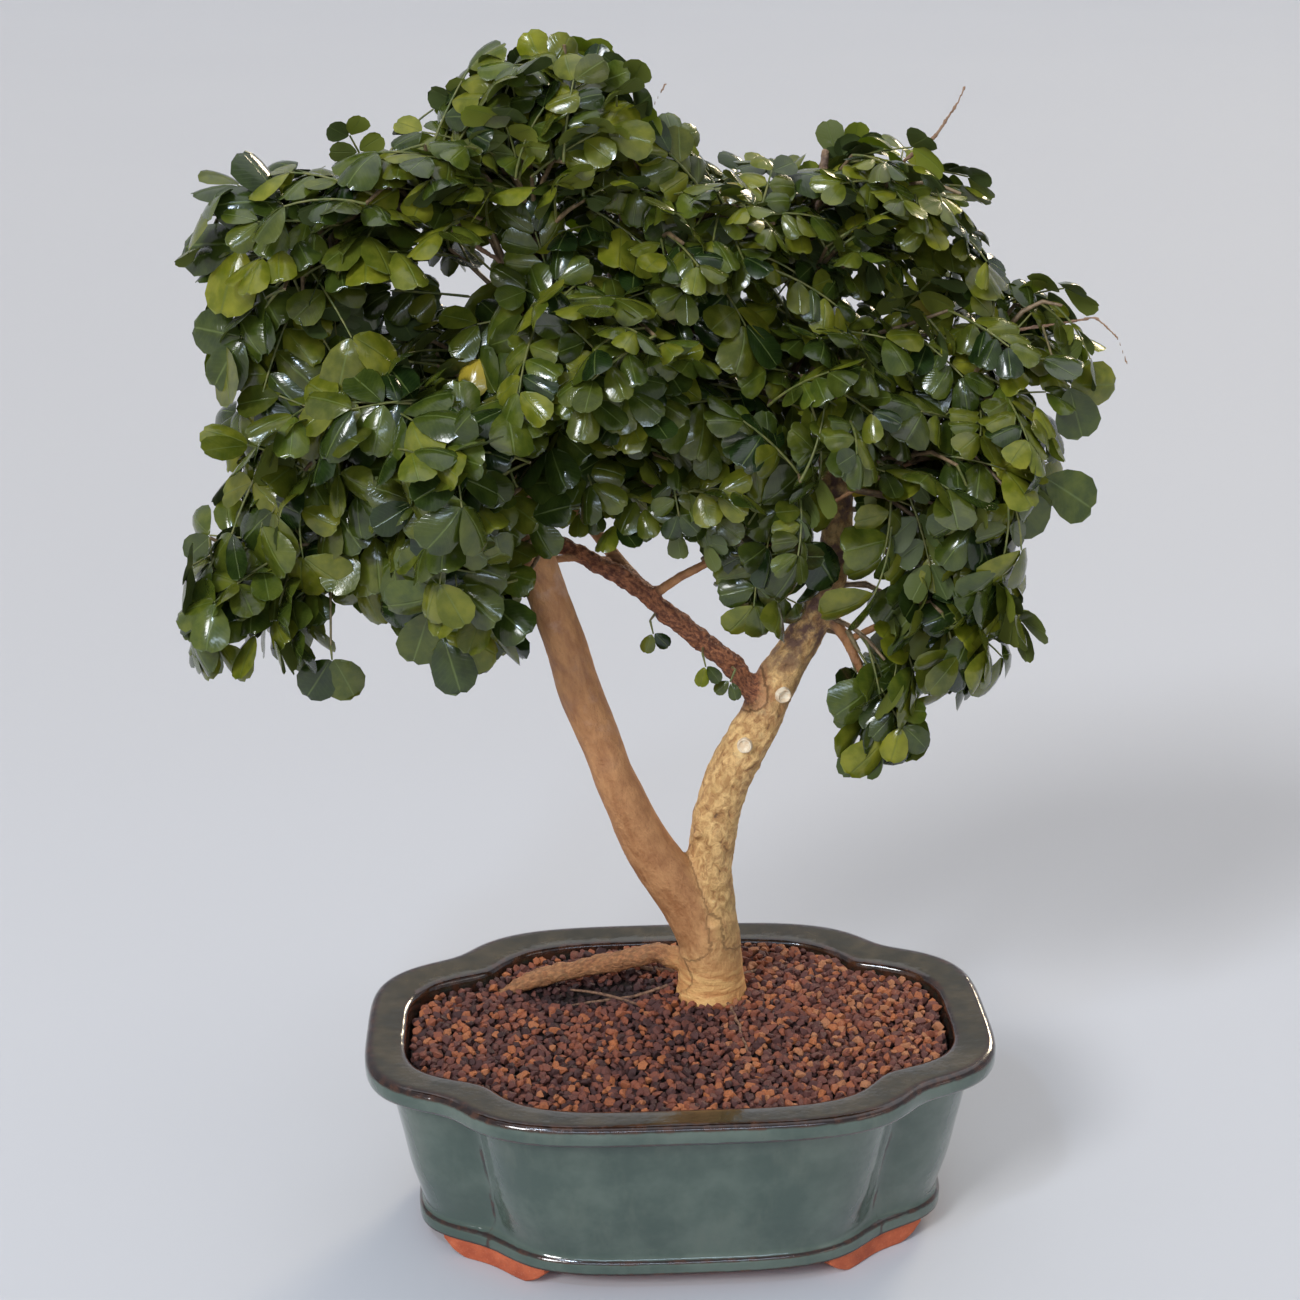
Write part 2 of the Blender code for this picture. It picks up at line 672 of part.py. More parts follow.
def blade(outline, base, heading, face, droop, cup, thickness):
    """A bmesh of the outline as a thin blade, bent down along its rib and cupped across it."""
    length = max(u for u, _ in outline)
    aside = face.cross(heading).normalized()
    curl = droop / length
    bm = bmesh.new()
    flat = [bm.verts.new((u, v, 0)) for u, v in outline]
    bm.faces.new(flat)
    bmesh.ops.triangulate(bm, faces=bm.faces, ngon_method="EAR_CLIP")
    inner = [edge for edge in bm.edges if len(edge.link_faces) == 2]
    bmesh.ops.beautify_fill(bm, faces=bm.faces, edges=inner)
    for vert in bm.verts:
        u, v, _ = vert.co
        turn = curl * u
        run = math.sin(turn) / curl
        drop = (1 - math.cos(turn)) / curl
        sink = cup * v * v / LEAFLET_LENGTH
        down = heading * -math.sin(turn) - face * math.cos(turn)
        vert.co = base + heading * run - face * drop + aside * v + down * sink
    bmesh.ops.recalc_face_normals(bm, faces=bm.faces)
    bmesh.ops.solidify(bm, geom=bm.faces, thickness=thickness)
    bmesh.ops.recalc_face_normals(bm, faces=bm.faces)
    return bm


def in_mass(point, mass, limit):
    """Whether the point lies in one foliage mass, blown up by the limit."""
    centre, radii = MASSES[mass][:2]
    off = [(point[k] / MM - centre[k]) / radii[k] for k in range(3)]
    return sum(o * o for o in off) < limit * limit


def inside_crown(point):
    """Whether the point lies within reach of any foliage mass."""
    return any(in_mass(point, mass, REACH_LIMIT) for mass in MASSES)


def skin_point(mass, way):
    """The point of a foliage mass's skin that lies one way from its centre."""
    centre, radii = MASSES[mass][:2]
    return Vector([centre[k] + radii[k] * way[k] for k in range(3)]) * MM


def shoot_directions(mass):
    """Well spread directions from a mass's centre that point out of the whole crown."""
    count, reach = MASSES[mass][2:]
    others = [other for other in MASSES if other != mass]
    options = []
    for i in range(DIRECTIONS):
        z = 1 - 2 * (i + 0.5) / DIRECTIONS
        turn = i * math.pi * (3 - math.sqrt(5))
        flat = math.sqrt(1 - z * z)
        way = Vector((flat * math.cos(turn), flat * math.sin(turn), z))
        skin = skin_point(mass, way)
        if not any(in_mass(skin, other, 0.95) for other in others):
            options.append(way)
    chosen = [Vector(reach).normalized()]
    while len(chosen) < count + SPARE_SHOOTS:
        chosen.append(max(options, key=lambda w: min((w - c).length for c in chosen)))
    return chosen


def shaken(way, draw, amount):
    """The direction, turned a little at random."""
    return (way + Vector([draw.gauss(0, amount) for _ in range(3)])).normalized()


class Crown:
    """The shoots made so far, with the search trees that keep new leaves clear of them."""

    def __init__(self, trunk):
        self.wood = surface_tree(trunk)
        self.trees = [self.wood]

    def clear(self, tree):
        """Whether a search tree crosses nothing that is already there."""
        return not any(tree.overlap(other) for other in self.trees)


def leaf_face(base, heading, draw):
    """The way a leaf's upper side looks: up, out of the crown and to the nearer of front or back."""
    shown = Vector((0, -1 if base.y < CROWN_MIDDLE.y else 1, 0))
    face = UP * 0.7 + (base - CROWN_MIDDLE).normalized() * 0.8 + shown * 0.4
    face -= heading * face.dot(heading)
    return Matrix.Rotation(draw.uniform(-0.6, 0.6), 3, heading) @ face.normalized()


def fit_leaf(crown, base, outward, draw, pairs, size, own):
    """Try leaves from a base point until one is clear; returns its shape and tree, or None."""
    for attempt in range(LEAF_TRIES):
        share = attempt / LEAF_TRIES
        heading = shaken(outward, draw, 0.15 + 0.9 * share)
        face = leaf_face(base, heading, draw)
        scale = size * (1 - 0.25 * share)
        outline = leaf_outline(LEAF_LENGTH * scale, pairs, scale)
        droop = draw.uniform(0.35, 1.15) * (1 - 0.8 * max(0.0, heading.z))
        cup = draw.uniform(0.10, 0.30)
        shape = (outline, base, heading, face, droop, cup)
        tested = blade(*shape, CLEAR_THICKNESS)
        fits = all(inside_crown(vert.co) for vert in tested.verts)
        whole = BVHTree.FromBMesh(tested)
        fits = fits and crown.clear(whole)
        if fits and own:
            near = [v for v in tested.verts if (v.co - base).length < OWN_FREE]
            bmesh.ops.delete(tested, geom=near, context="VERTS")
            outer = BVHTree.FromBMesh(tested)
            fits = not any(outer.overlap(other) for _, other in own)
        tested.free()
        if fits:
            return shape, whole
    return None


def rod(path, radii, extra):
    """A bmesh of a plain six-sided rod, to test a stem's room with."""
    bm = bmesh.new()
    rows = []
    for i, (point, radius) in enumerate(zip(path, radii)):
        ahead = (path[min(i + 1, len(path) - 1)] - path[max(i - 1, 0)]).normalized()
        aside = ahead.orthogonal().normalized()
        row = []
        for k in range(6):
            spoke = Matrix.Rotation(k * math.pi / 3, 3, ahead) @ aside
            row.append(bm.verts.new(point + spoke * (radius + extra)))
        rows.append(row)
    for below, above in zip(rows, rows[1:]):
        for k in range(6):
            bm.faces.new((below[k], below[k - 1], above[k - 1], above[k]))
    bm.faces.new(rows[0])
    bm.faces.new(rows[-1])
    return bm


def seat_stem(crown, goal, source, rise):
    """A stem's path from the bark up to the goal, its foot just clear of the wood, or None."""
    way = (source - goal).normalized()
    hit, _, _, _ = crown.wood.ray_cast(goal, way)
    if hit is None:
        return None
    lift = UP * rise * (goal - hit).length
    for nudge in range(NUDGES):
        start = hit - way * (GAP + nudge * GAP / 3)
        path = [start] + bend(start - way * 0.002, goal, lift, 2)
        bare = rod(path, STEM_RADII, 0.0)
        crosses = BVHTree.FromBMesh(bare).overlap(crown.wood)
        bare.free()
        if not crosses:
            wide = rod(path, STEM_RADII, STEM_CLEARANCE)
            tree = BVHTree.FromBMesh(wide)
            wide.free()
            taken = any(tree.overlap(other) for other in crown.trees[1:])
            return None if taken else path
    return None


def find_stem(crown, twigs, goal, draw):
    """The first stem path that fits, tried from the nearest twigs and with a shifted goal."""
    aim = goal
    for attempt in range(STEM_TRIES):
        near = sorted(twigs, key=lambda twig: (twig - aim).length)[:NEAR_TWIGS]
        for source in near:
            for rise in STEM_RISES:
                if (source - aim).length < SHORTEST_STEM:
                    continue
                path = seat_stem(crown, aim, source, rise)
                if path:
                    return path
        shift = Vector([draw.uniform(-1, 1) for _ in range(3)])
        aim = goal + shift * GOAL_SHIFT * (attempt + 1)
    return None


def plan_shoot(crown, twigs, goal, outward, draw):
    """A stem's path and the leaves that fit on it: one at its end, then one beside it."""
    path = find_stem(crown, twigs, goal, draw)
    if path is None:
        return None, []
    own = []
    last = path[-1] - path[-2]
    for share, pairs, size in LEAF_PLAN:
        at_end = share == 1
        aim = outward if at_end else shaken(outward, draw, 0.8)
        back = LEAF_ROOT if at_end else last.length * (1 - share)
        spot = path[-1] - last.normalized() * back
        fitted = fit_leaf(crown, spot, aim, draw, pairs, size, own)
        if fitted:
            own.append(fitted)
    return path, own


def make_shoot(name, crown, path, own):
    """One leafy shoot: a green stem with its compound leaves fused on."""
    stem = tube(name, path, STEM_RADII, 0)
    crown.trees.extend([tree for _, tree in own] + [surface_tree(stem)])
    leaves = [mesh_object("leaf", blade(*shape, BLADE_THICKNESS)) for shape, _ in own]
    join(stem, leaves, solver="MANIFOLD")
    paint(tidy(stem), "leaf green", (0.05, 0.13, 0.03), 0.4)


def best_shoot(crown, twigs, mass, way, draw):
    """The fullest shoot found that reaches from a mass towards one way."""
    skin = skin_point(mass, way)
    outward = (skin - Vector(MASSES[mass][0]) * MM).normalized()
    best = (None, [])
    for depth in GOAL_DEPTHS:
        goal = skin - outward * (LEAF_LENGTH + LEAFLET_LENGTH) * depth
        found = plan_shoot(crown, twigs, goal, outward, draw)
        if len(found[1]) > len(best[1]):
            best = found
        if len(best[1]) == len(LEAF_PLAN):
            break
    return best


def make_shoots(trunk, twigs):
    """Leafy shoots: first the furthest one of every foliage mass, then those that fill it."""
    crown = Crown(trunk)
    draw = random.Random(SEED)
    ways = {mass: shoot_directions(mass) for mass in MASSES}
    wanted = {mass: facts[2] for mass, facts in MASSES.items()}
    turns = [(turn, mass) for mass in MASSES for turn in range(len(ways[mass]))]
    number = 0
    for turn, mass in sorted(turns, key=lambda pair: pair[0]):
        if not wanted[mass]:
            continue
        path, own = best_shoot(crown, twigs, mass, ways[mass][turn], draw)
        if own:
            wanted[mass] -= 1
            number += 1
            make_shoot(f"leafy_shoot_{number:02d}", crown, path, own)


def centre_plant(pieces):
    """Put the origin on the ground under the middle of the box round all the pieces."""
    corners = [vert.co for piece in pieces for vert in piece.data.vertices]
    middle_x = (min(co.x for co in corners) + max(co.x for co in corners)) / 2
    middle_y = (min(co.y for co in corners) + max(co.y for co in corners)) / 2
    for piece in pieces:
        piece.data.transform(Matrix.Translation((-middle_x, -middle_y, 0)))


for thing in list(bpy.data.objects):
    bpy.data.objects.remove(thing)
bonsai = bpy.data.collections.new("logwood_bonsai")
bpy.context.scene.collection.children.link(bonsai)

make_pot()
make_screen("drain_screen_left", -DRAIN_X)
make_screen("drain_screen_right", DRAIN_X)
make_soil()
trunk, twigs = make_trunk()
make_shoots(trunk, twigs)
centre_plant(bonsai.objects)
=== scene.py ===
"""Looks of the logwood bonsai: glazed pot, gravel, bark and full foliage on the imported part.

Metres, +Z up, front -Y. Places on the plant are given over the middle of the pot.
"""
import json
import math
import random
from itertools import product

import bmesh
import bpy
from mathutils import Matrix, Vector, kdtree, noise
from mathutils.bvhtree import BVHTree

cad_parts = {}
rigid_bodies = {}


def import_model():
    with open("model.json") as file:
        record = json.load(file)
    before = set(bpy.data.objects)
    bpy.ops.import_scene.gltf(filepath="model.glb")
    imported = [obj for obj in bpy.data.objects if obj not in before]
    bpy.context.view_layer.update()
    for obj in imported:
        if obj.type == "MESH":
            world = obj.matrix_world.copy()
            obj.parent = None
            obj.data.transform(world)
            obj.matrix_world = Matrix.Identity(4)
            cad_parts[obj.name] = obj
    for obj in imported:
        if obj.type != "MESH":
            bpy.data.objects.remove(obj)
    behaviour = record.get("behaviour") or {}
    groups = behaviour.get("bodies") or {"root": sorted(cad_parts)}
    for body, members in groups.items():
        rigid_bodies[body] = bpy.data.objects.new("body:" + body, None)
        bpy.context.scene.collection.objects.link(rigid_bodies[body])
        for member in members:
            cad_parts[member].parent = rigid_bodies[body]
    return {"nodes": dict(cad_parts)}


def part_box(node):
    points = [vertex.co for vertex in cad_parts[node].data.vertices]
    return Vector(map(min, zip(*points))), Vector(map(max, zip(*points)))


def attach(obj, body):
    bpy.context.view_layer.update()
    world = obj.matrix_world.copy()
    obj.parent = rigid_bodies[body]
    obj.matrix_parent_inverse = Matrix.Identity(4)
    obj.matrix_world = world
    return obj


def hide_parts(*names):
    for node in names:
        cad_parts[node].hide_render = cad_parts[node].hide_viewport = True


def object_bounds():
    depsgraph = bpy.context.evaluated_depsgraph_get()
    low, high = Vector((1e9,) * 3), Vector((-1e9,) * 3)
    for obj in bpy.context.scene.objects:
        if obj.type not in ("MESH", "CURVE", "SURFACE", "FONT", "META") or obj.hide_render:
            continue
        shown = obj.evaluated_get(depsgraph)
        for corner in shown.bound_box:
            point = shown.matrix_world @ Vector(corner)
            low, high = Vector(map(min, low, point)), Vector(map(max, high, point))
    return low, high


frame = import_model()
cad_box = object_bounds()

MM = 0.001
SAME_POINT = 0.000002
UP = Vector((0, 0, 1))
SEED = 201
POT_LOW, POT_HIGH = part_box("pot")
POT_MIDDLE = Vector(((POT_LOW.x + POT_HIGH.x) / 2, (POT_LOW.y + POT_HIGH.y) / 2, 0))

# Pot: half sizes of the rim's long and wide lobes, as in the solid
RIM_LONG_HALF = 0.155
RIM_LONG_LOBE = 0.0766
RIM_WIDE_LOBE = 0.1177
RIM_WIDE_HALF = 0.103
LOBE_POWER = 4.0
RIM_SOFTNESS = 0.0053
BODY_SOFTNESS = 0.0012
BASE_SOFTNESS = 0.0115
NOTCH_WIDTH = 0.0016
POT_SIDES = 288
# Rings of the pot: inset from the rim's outline, height, softness of the notches and how
# thin the glaze runs there
BAND_RINGS = [
    (0.0275, 0.0100, BASE_SOFTNESS, 0.8),
    (0.0247, 0.0102, BASE_SOFTNESS, 1.0),
    (0.0236, 0.0110, BASE_SOFTNESS, 1.0),
    (0.0235, 0.0125, BASE_SOFTNESS, 0.3),
    (0.0235, 0.0155, BASE_SOFTNESS, 0.1),
    (0.0237, 0.0167, BASE_SOFTNESS, 0.7),
    (0.0245, 0.0176, 0.0110, 0.9),
    (0.0252, 0.0185, 0.0100, 0.2),
    (0.0254, 0.0196, 0.0090, 0.0),
    (0.0251, 0.0212, 0.0078, 0.0),
]
WALL_RINGS = [
    (0.0240, 0.0255, 0.0056, 0.0),
    (0.0222, 0.0325, 0.0034, 0.0),
    (0.0205, 0.0390, 0.0022, 0.0),
    (0.0190, 0.0460, 0.0016, 0.0),
    (0.0164, 0.0620, BODY_SOFTNESS, 0.0),
    (0.0135, 0.0780, BODY_SOFTNESS, 0.0),
    (0.0122, 0.0855, 0.0016, 0.0),
    (0.0114, 0.0902, 0.0024, 0.0),
    (0.0111, 0.0920, 0.0032, 0.1),
]
LIP_RINGS = [
    (0.0098, 0.0930, 0.0040, 0.0),
    (0.0066, 0.0940, 0.0050, 0.0),
    (0.0036, 0.0949, RIM_SOFTNESS, 0.3),
    (0.0018, 0.0956, RIM_SOFTNESS, 0.9),
    (0.0006, 0.0966, RIM_SOFTNESS, 1.0),
    (0.0001, 0.0980, RIM_SOFTNESS, 0.4),
    (0.0000, 0.1008, RIM_SOFTNESS, 0.1),
    (0.0001, 0.1032, RIM_SOFTNESS, 0.5),
    (0.0006, 0.1046, RIM_SOFTNESS, 1.0),
    (0.0017, 0.1056, RIM_SOFTNESS, 1.0),
    (0.0032, 0.1060, RIM_SOFTNESS, 0.8),
    (0.0060, 0.1058, RIM_SOFTNESS, 0.35),
    (0.0120, 0.1052, RIM_SOFTNESS, 0.3),
    (0.0165, 0.1047, RIM_SOFTNESS, 0.5),
    (0.0185, 0.1041, RIM_SOFTNESS, 0.9),
    (0.0194, 0.1031, RIM_SOFTNESS, 1.0),
    (0.0197, 0.1010, RIM_SOFTNESS, 0.7),
    (0.0203, 0.0985, RIM_SOFTNESS, 0.8),
    (0.0225, 0.0900, RIM_SOFTNESS, 0.8),
]
INNER_RINGS = [
    (0.0229, 0.0880, RIM_SOFTNESS, 0.6),
    (0.0285, 0.0550, RIM_SOFTNESS, 0.6),
    (0.0334, 0.0260, RIM_SOFTNESS, 0.6),
    (0.0349, 0.0215, RIM_SOFTNESS, 0.6),
    (0.0374, 0.0200, RIM_SOFTNESS, 0.6),
]
# How thin the glaze runs in a notch, and where the lip's top with its olive glaze begins
NOTCH_THIN = 0.9
LIP_TOP_INSET = 0.0025
LIP_TOP_Z = 0.1
FLOOR_TOP = 0.020
FOOT_HEIGHT = 0.010
FOOT_REACH = (0.069, 0.119)
FOOT_INSETS = (0.0245, 0.042)
FOOT_STATIONS = 28
FOOT_FLAT = 0.6
FOOT_END_RISE = 0.0075
FOOT_END_TAPER = 0.45
FOOT_SUNK = 0.002
FOOT_ROUNDING = 0.0013
FOOT_SOFT_SHARE = 0.3
DRAIN_X = 0.052
DRAIN_RADIUS = 0.010
DRAIN_SIDES = 48

# Soil level as in the solid: at the pot, at the trunk's mound and in the hollow
SOIL_EDGE_Z = 0.0990
SOIL_RISE = 0.0078
SOIL_MOUND = 0.075
HOLLOW_AT = (-0.040, 0.036)
HOLLOW_REACH = (0.032, 0.012)
HOLLOW_DEPTH = 0.007
# Bed of fines: inset and height of its two lower rings, inset of its top, and the shares of
# the way out from the middle at which the top has its rings
BED_SIDES = 96
BED_FOOT = [(0.0360, 0.0208), (0.0233, 0.0895)]
BED_TOP_INSET = 0.0220
BED_SHARES = (1.0, 0.94, 0.85, 0.72, 0.58, 0.44, 0.30, 0.16)
BED_DROP = 0.0034
# Grains: inset from the rim, pitch and size, kinds and corners of each, the rows' share of the
# pitch, shake in a row, up and down and in turning, room to the wood, sizes and layers
GRAIN_INSET = 0.0215
GRAIN_PITCH = 0.0043
GRAIN_SIZE = 0.0057
GRAIN_KINDS = 8
GRAIN_CORNERS = 17
GRAIN_SHARP = 26
ROW_SHARE = 0.87
ROW_SHAKE = 0.33
GRAIN_LIFT = (-0.0006, 0.0007)
GRAIN_TILT = 0.7
GRAIN_SPIN = 6.28
GRAIN_ROOM = 0.0012
GRAIN_SIZES = (0.72, 0.85, 0.95, 1.0, 1.1, 1.25)
GRAIN_LAYERS = [("gravel_top", 0.0), ("gravel_under", -0.0021)]
# Tint of the grains: least, span, power and most; rust from one x on; share in the layer
# below, darker as painted shade in the gaps between the top grains; how the hollow thins and
# darkens them, painted shadow under the surface root that bares the dark bed
TINT_LEAST = 0.08
TINT_SPAN = 0.82
TINT_POWER = 1.3
TINT_MOST = 0.93
RUST_X = 0.010
RUST_SPAN = 0.07
RUST_TINT = 0.16
UNDER_SHADE = 0.5
HOLLOW_GAIN = 1.5
HOLLOW_THINNED = 0.8
HOLLOW_SHADE = 0.9

# Wood: each point is x, y, z and radius in millimetres, as in the solid
STUMP = [
    (18.5, 26.5, 66, 13),
    (18.5, 26.5, 92, 17),
    (18.5, 26.5, 104, 17.6),
    (18.3, 26.5, 113, 16.2),
    (17.6, 26.3, 132, 15.6),
    (16.0, 26.0, 150, 14.6),
]
LEFT_STEM = [
    (14, 26, 138, 13),
    (6, 24, 157, 13),
    (-1.7, 22, 171, 12.8),
    (-15, 18, 194, 11.6),
    (-28.7, 12, 228, 9.8),
    (-35.4, 10, 248, 9.6),
    (-47.1, 6, 282, 10),
    (-52.4, 4, 303, 9.5),
    (-66, 0, 347, 9),
    (-76.5, -2, 386, 8),
    (-80.3, -2, 414, 7.4),
    (-74.7, 0, 455, 6),
    (-65.8, 4, 494, 4.6),
    (-66, 6, 529, 3),
    (-61, 10, 541, 2.0),
]
RIGHT_STEM = [
    (19.5, 27, 140, 12.5),
    (18, 27, 160, 12),
    (17.6, 27, 178, 11.4),
    (22.6, 29, 210, 11.4),
    (28.6, 30, 227, 11.6),
    (36, 31, 240, 10.4),
    (44.8, 32, 258, 10.3),
    (47.7, 33, 267, 10.6),
    (56.9, 34, 283, 9.6),
    (63.7, 35, 295, 8.7),
    (70, 36, 310, 8.6),
    (77, 38, 328, 8),
    (79.6, 40, 351, 7.4),
    (76.3, 42, 380, 7),
    (71.2, 44, 409, 6.2),
    (66.1, 46, 442, 5.4),
    (63.9, 48, 470, 4.6),
    (68.3, 50, 498, 3.2),
    (71, 50, 526, 1.5),
]
CROSS_BRANCH = [
    (46, 33, 262, 6),
    (36, 31.5, 270, 5.6),
    (29.7, 30, 280, 5.2),
    (12.3, 27, 297, 5),
    (-4.8, 25, 312, 5),
    (-18, 24, 325, 4.6),
    (-36, 25, 336, 4.2),
    (-56, 28, 346, 3.8),
    (-82, 30, 356, 3.2),
    (-104, 26, 366, 2.4),
]
SURFACE_ROOT = [
    (14, 29, 119, 7),
    (1, 34, 121, 6),
    (-10, 38, 122, 5.2),
    (-28, 42, 116, 4.8),
    (-48, 45, 110.5, 4.8),
    (-69, 47, 104.5, 4.6),
    (-86, 46.5, 97, 3.6),
    (-93, 46, 91, 2.4),
]
# Pruning scars: place and radius in millimetres, then the profile as share of the radius
# and height, the sides, the unevenness, the height over the bark and the depth in it
SCARS = [((33.5, 18.5, 243.5), 3.4), ((52.5, 22, 268.5), 3.6)]
SCAR_MIDDLE = 0.0004
SCAR_PROFILE = [(0.55, 0.0003), (0.72, 0.0006), (0.88, 0.0015), (1.02, 0.0013), (1.16, -0.0008)]
SCAR_SIDES = 28
SCAR_SHAKE = 0.07
SCAR_LIFT = 0.0006
SCAR_DEPTH = 0.002
STEM_SWELL = 1.03
STEM_SIDES = 40
BARK_VOXEL = 0.00125
# Bark: stem points that a corner looks to and how soon they fade, and where twigs begin, in
# radii of the stem, and how soon
BARK_NEAR = 8
BARK_FADE = 0.002
TWIG_RADII = 1.25
TWIG_FADE = 0.004
# How much of each kind of bark a stem has: gnarled and creviced, rough and dark
BARK_KINDS = [
    (STUMP, 0.45, 0.0),
    (LEFT_STEM, 0.0, 0.0),
    (RIGHT_STEM, 1.0, 0.0),
    (CROSS_BRANCH, 0.6, 1.0),
    (SURFACE_ROOT, 0.60, 0.72),
]
# Fine roots on the soil: points and radius in millimetres
FINE_ROOTS = [
    [
        (10, 44, 108, 1.3),
        (-10, 52, 105, 1.2),
        (-28, 66, 103, 1.1),
        (-50, 66, 102.6, 1.0),
        (-70, 56, 102, 0.8),
        (-86, 46, 99, 0.6),
    ],
    [
        (14, 42, 109, 1.2),
        (-2, 62, 105.5, 1.0),
        (-12, 72, 104, 0.9),
        (-24, 74, 103.5, 0.8),
        (-32, 68, 101, 0.6),
    ],
    [
        (-53, 40, 101, 0.6),
        (-43, 34, 102.6, 0.7),
        (-32, 27, 103.4, 0.8),
        (-21, 17, 104.6, 0.7),
        (-14, 12, 102, 0.5),
    ],
    [
        (26, 10, 107, 0.8),
        (28.3, -1.7, 106.6, 0.8),
        (30.4, -16.8, 105.4, 0.7),
        (32.2, -29.5, 104, 0.6),
        (34.6, -41.1, 101.5, 0.5),
    ],
    [(-4, 30, 107.5, 0.9), (-20, 28, 103, 0.8), (-38, 30, 99.5, 0.7), (-52, 28, 98.5, 0.5)],
    [(34, 38, 108, 1.0), (48, 50, 104.5, 0.8), (66, 56, 102.5, 0.6), (80, 50, 100, 0.4)],
]
ROOT_STEPS = 7
ROOT_WAVES = 160
ROOT_SWAY = 0.0016

# Foliage masses: centre and radii in millimetres, how many shoots are added to those of the
# solid, leaflet size, hang and freshness, which in the lower right masses is painted glow of
# light from behind
MASSES = {
    "peak": ((-53, 5, 541), (54, 52, 48), 18, 0.60, -0.2, 0.42),
    "upper_left": ((-121, 0, 511), (50, 66, 38), 12, 0.70, 0.0, 0.24),
    "left_top": ((-179, -5, 488), (38, 52, 46), 8, 0.88, 0.15, 0.34),
    "left_mid": ((-169, -5, 421), (46, 62, 45), 9, 0.86, 0.25, 0.20),
    "left_low": ((-193, -10, 341), (47, 52, 46), 9, 0.80, 0.45, 0.14),
    "centre_left": ((-103, 0, 405), (57, 98, 59), 18, 0.78, 0.2, 0.16),
    "left_skirt": ((-98, -15, 337), (48, 58, 42), 7, 0.90, 0.5, 0.10),
    "centre": ((-34, 15, 446), (59, 108, 59), 26, 0.60, 0.05, 0.18),
    "centre_low": ((-14, 20, 384), (62, 62, 38), 14, 0.52, 0.1, 0.20),
    "centre_top": ((11, 20, 499), (47, 72, 38), 18, 0.54, -0.1, 0.26),
    "right_top": ((90, 35, 502), (56, 62, 38), 20, 0.52, -0.1, 0.42),
    "right_edge": ((156, 30, 444), (50, 52, 41), 12, 0.62, 0.15, 0.36),
    "right_mid": ((130, 25, 389), (56, 72, 50), 14, 0.84, 0.5, 0.22),
    "right_low": ((137, 15, 312), (38, 44, 46), 7, 0.88, 0.8, 0.50),
    "right_drop": ((96, 20, 263), (28, 34, 46), 3, 0.90, 0.9, 0.85),
    "centre_right": ((54, 30, 413), (56, 104, 61), 20, 0.62, 0.15, 0.16),
    "middle_skirt": ((42, 10, 347), (40, 52, 45), 5, 0.70, 0.4, 0.14),
}
CROWN_MIDDLE = Vector((-0.015, 0.040, 0.380))
LEAF_LENGTH = 0.060
LEAFLET_LENGTH = 0.0262
LEAFLET_WIDTH = 0.0214
FIRST_PAIR = 0.42
PAIR_SPAN = 0.53
LEAFLET_LEAN = math.radians(66)
LAST_LEAN = math.radians(33)
STEM_RADII = (0.0017, 0.0015, 0.0010)
RIB_RADII = (0.0007, 0.0004)
# A leaflet's stations: share of its length and half width, then how far its notch cuts in
LEAFLET_OUTLINE = [
    (0.0, 0.03),
    (0.08, 0.15),
    (0.26, 0.32),
    (0.50, 0.42),
    (0.74, 0.43),
    (0.91, 0.30),
    (1.0, 0.11),
]
LEAFLET_WIDEST = 0.86
LEAFLET_NOTCH = 0.035
LEAFLET_SHARP = 75
# Thickness of the blade, how far its thickest part is shifted to the root and where it ends,
# where the arch starts and how much the dome counts
LEAFLET_BLADE = 0.014
BLADE_SHIFT = 0.04
BLADE_END = 0.97
ARCH_START = 0.15
DOME_GAIN = 2.2
# How each kind of leaflet bends: arch along, dome across, fold, twist and lift of the tip
LEAFLET_KINDS = [
    (-0.24, -0.44, 0.00, 0.00, 0.00),
    (-0.14, -0.16, 0.20, 0.00, 0.06),
    (-0.36, -0.52, 0.00, 0.10, -0.05),
    (-0.16, -0.34, 0.10, -0.22, 0.00),
    (-0.30, -0.26, -0.12, 0.14, 0.02),
]
# Leaflets along a leaf: size of the first pair and gain to the last, spread of their length
# and width, distance from the rib, step to a point beside the middle, steps of the rib
PAIR_SIZE = 0.92
PAIR_GAIN = 0.14
LENGTH_SPREAD = (0.88, 1.12)
WIDTH_SPREAD = (0.9, 1.08)
RIB_OFFSET = 0.0008
FLANK_STEP = 0.004
RIB_STEPS = 6
# Upper sides of leaves: how much they look up, out of the crown and to the front or back, the
# chance of the front, how far they stray and the least that counts
FACE_UP = 0.65
FACE_OUT = 0.7
FACE_FRONT = 0.4
FRONT_CHANCE = 0.62
FACE_STRAY = (0.42, 0.42, 0.35)
FACE_LEAST = 0.2
# How the leaflets are tinted and shaken: spread of a leaf's tint, its cap and the chance of
# a yellow one, how much freshness each may have, also painted backlit glow, the share of the
# kinds, roll and lean
TINT_SPREAD = 0.28
TINT_CAP = 0.96
YELLOW_CHANCE = 0.003
FRESH_AND_BACKLIT_DRAW = (0, 0, 0.5, 1, 2.6)
KIND_DRAW = (0, 0, 1, 2, 2, 3, 4)
LEAFLET_ROLL = 0.30
LEAFLET_STRAY = 0.16
# Where on a leaflet its middle is, and the room it needs to others and to the wood
LEAFLET_MIDDLE = 0.55
LEAFLET_ROOM = 0.0070
WOOD_ROOM = 0.0035
# Whole curl of a leaf over the length of its rib
CURL_SPAN = 1.39
# Tries for a shoot of the crown and for each of its leaves, where the leaves start on the
# stem, how near others may crowd it, and the reach of a stem
SHOOT_TRIES = 14
LEAF_TRIES = 9
LEAF_STARTS = (1.0, 0.84, 0.62, 0.44)
MOST_CROWD = 0.34
SHOOT_REACH = (0.012, 0.095)
MORE_STEM_RADII = (0.0014, 0.0012, 0.0010, 0.0008)
